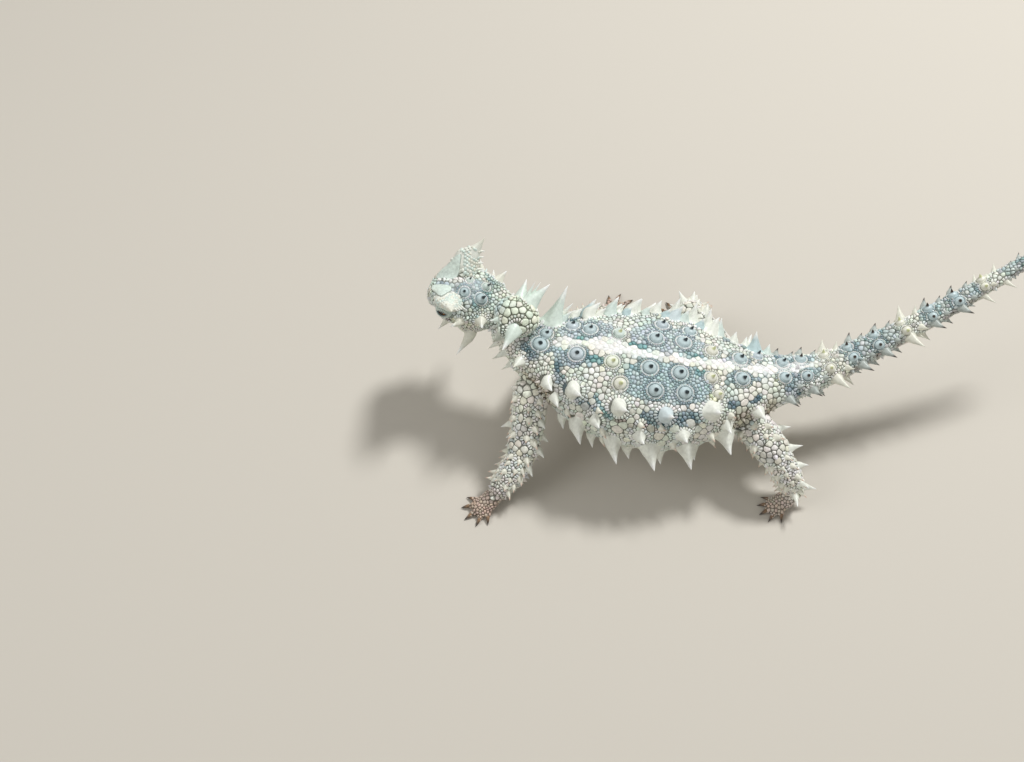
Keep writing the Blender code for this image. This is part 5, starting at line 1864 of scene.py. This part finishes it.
def lidDirections(side, turns, wide):
    # directions from the eye's centre round the opening of the lids
    gaze = unit(headRight * side * .95 - headBack * .14 + headUp * .2)
    long = unit(headBack - gaze * (headBack @ gaze))
    tall = unit(headUp - gaze * (headUp @ gaze))
    tallness = np.where(np.sin(turns) > 0, lid["up"], lid["down"])
    extra = (wide - 1) * 1.35
    u = np.cos(turns) * (lid["halfLength"] + extra)
    v = np.sin(turns) * (tallness * (1 - .25 * np.abs(np.cos(turns))) + extra)
    flat = np.hypot(u, v)
    tilt = np.minimum(flat / 2.05, 1.5)
    return (gaze[None] * np.cos(tilt)[:, None] + (long[None] * (u / flat)[:, None]
            + tall[None] * (v / flat)[:, None]) * np.sin(tilt)[:, None]), gaze


def makeLids(side, word):
    # two scaly lids: an almond opening on the ball, thick rims, then skirts into the head
    centre = eyeCentres[side]
    sides, count = 48, len(lid["rings"])
    turns = np.linspace(0, tau, sides, endpoint=False)
    rings, grains = [], []
    for reach, wide, _ in lid["rings"]:
        directions, gaze = lidDirections(side, turns, wide)
        rings.append(centre + directions * reach)
    for row, (reach, wide, number, radius) in enumerate(lid["granules"]):
        tones = ("cream", "mint") if row else ("slate", "grey")
        around = tau * (np.arange(number) + .5 * (row % 2)) / number
        for direction in lidDirections(side, around, wide)[0]:
            root = centre + direction * reach
            grains.append(thornOf(root, root + direction * radius * 1.05, radius, *tones))
    makeThorns("lid_granules_" + word, grains, "granule", thornMaterial, "body_skin")
    mesh = gridMesh("lids_" + word, rings)
    if Vector(mesh.polygons[sides * 3].normal) @ Vector(gaze) < 0:
        mesh.flip_normals()
    points = inMm(mesh)
    tone = markings(points, *locate(points))[0]
    setColours(mesh, "tint", blend(tone, ("slate", np.full(len(tone), .5))))
    setValues(mesh, "level", np.repeat([tone for _, _, tone in lid["rings"]], sides))
    chartUv(mesh, .05, .27, np.repeat(np.arange(count) / count, sides), count, sides, .03)
    solid = addObject("lid_form", mesh)
    modifier = solid.modifiers.new("thickness", "SOLIDIFY")
    modifier.thickness = .00025
    modifier.offset = -1
    keepApart(f"eyelids_{word}", plainMesh(solid, "lids_" + word), scaleMaterial, "body_skin")


eyeMaterial = eyeFinish()
for side, word in ((-1, "left"), (1, "right")):
    makeHorn(side, word)
    makeEye(side, word, eyeMaterial)
    makeLids(side, word)
for shape in shapes.values():
    bpy.data.objects.remove(shape)
print("horns and eyes made")

studio = {"floor": "#c9c4ba", "floorSize": 4.0, "elevation": 58, "distance": 368,
          "target": (-34.6, 11, 0), "lens": 45}


def floorFinish():
    # matt paper sweep with the faintest tooth
    material, tree, shader, tooth = newMaterial("matt_paper_sweep", (), (1.5, 3))
    setInputs(tree, shader, {
        "Base Color": (*toLinear(studio["floor"]), 1), "Roughness": .9,
        "Normal": addNode(tree, "Bump", {"Height": tooth, "Strength": .06, "Distance": .0001})})
    return material


half = studio["floorSize"] / 2
floorMesh = listMesh("floor", [(-half, -half, 0), (half, -half, 0), (half, half, 0),
                               (-half, half, 0)], [(0, 1, 2, 3)])
floorMesh.materials.append(floorFinish())
addObject("floor", floorMesh)


lamps = {"key_softbox": ((.3, .34, .72), 6, .16), "side_softbox": ((-.55, -.1, .5), 1.1, .4),
         "fill_softbox": ((.1, -.7, .4), .6, .6)}  # place in metres, power, size
for name, (place, power, size) in lamps.items():
    lamp = bpy.data.lights.new(name, "AREA")
    lamp.shape, lamp.size, lamp.energy = "DISK", size, power
    made = addObject(name, lamp)
    made.location = place
    aim = Vector((0, 0, .02)) - Vector(place)
    made.rotation_euler = aim.to_track_quat("-Z", "Y").to_euler()
world = bpy.data.worlds.new("studio")
world.use_nodes = True
sky = world.node_tree.nodes["Background"].inputs
sky[0].default_value, sky[1].default_value = (*toLinear("#e9e6e0"), 1), .4
bpy.context.scene.world = world
bpy.context.scene.view_settings.view_transform = "Standard"

elevation = radians(studio["elevation"])
forward = np.array((0, cos(elevation), -sin(elevation)))
camera = bpy.data.cameras.new("camera")
camera.lens, camera.sensor_width, camera.clip_start = studio["lens"], 36, .01
cameraObject = addObject("camera", camera)
cameraObject.location = toMetres(np.array(studio["target"]) - forward * studio["distance"])
cameraObject.rotation_euler = (pi / 2 - elevation, 0, 0)
bpy.context.scene.camera = cameraObject
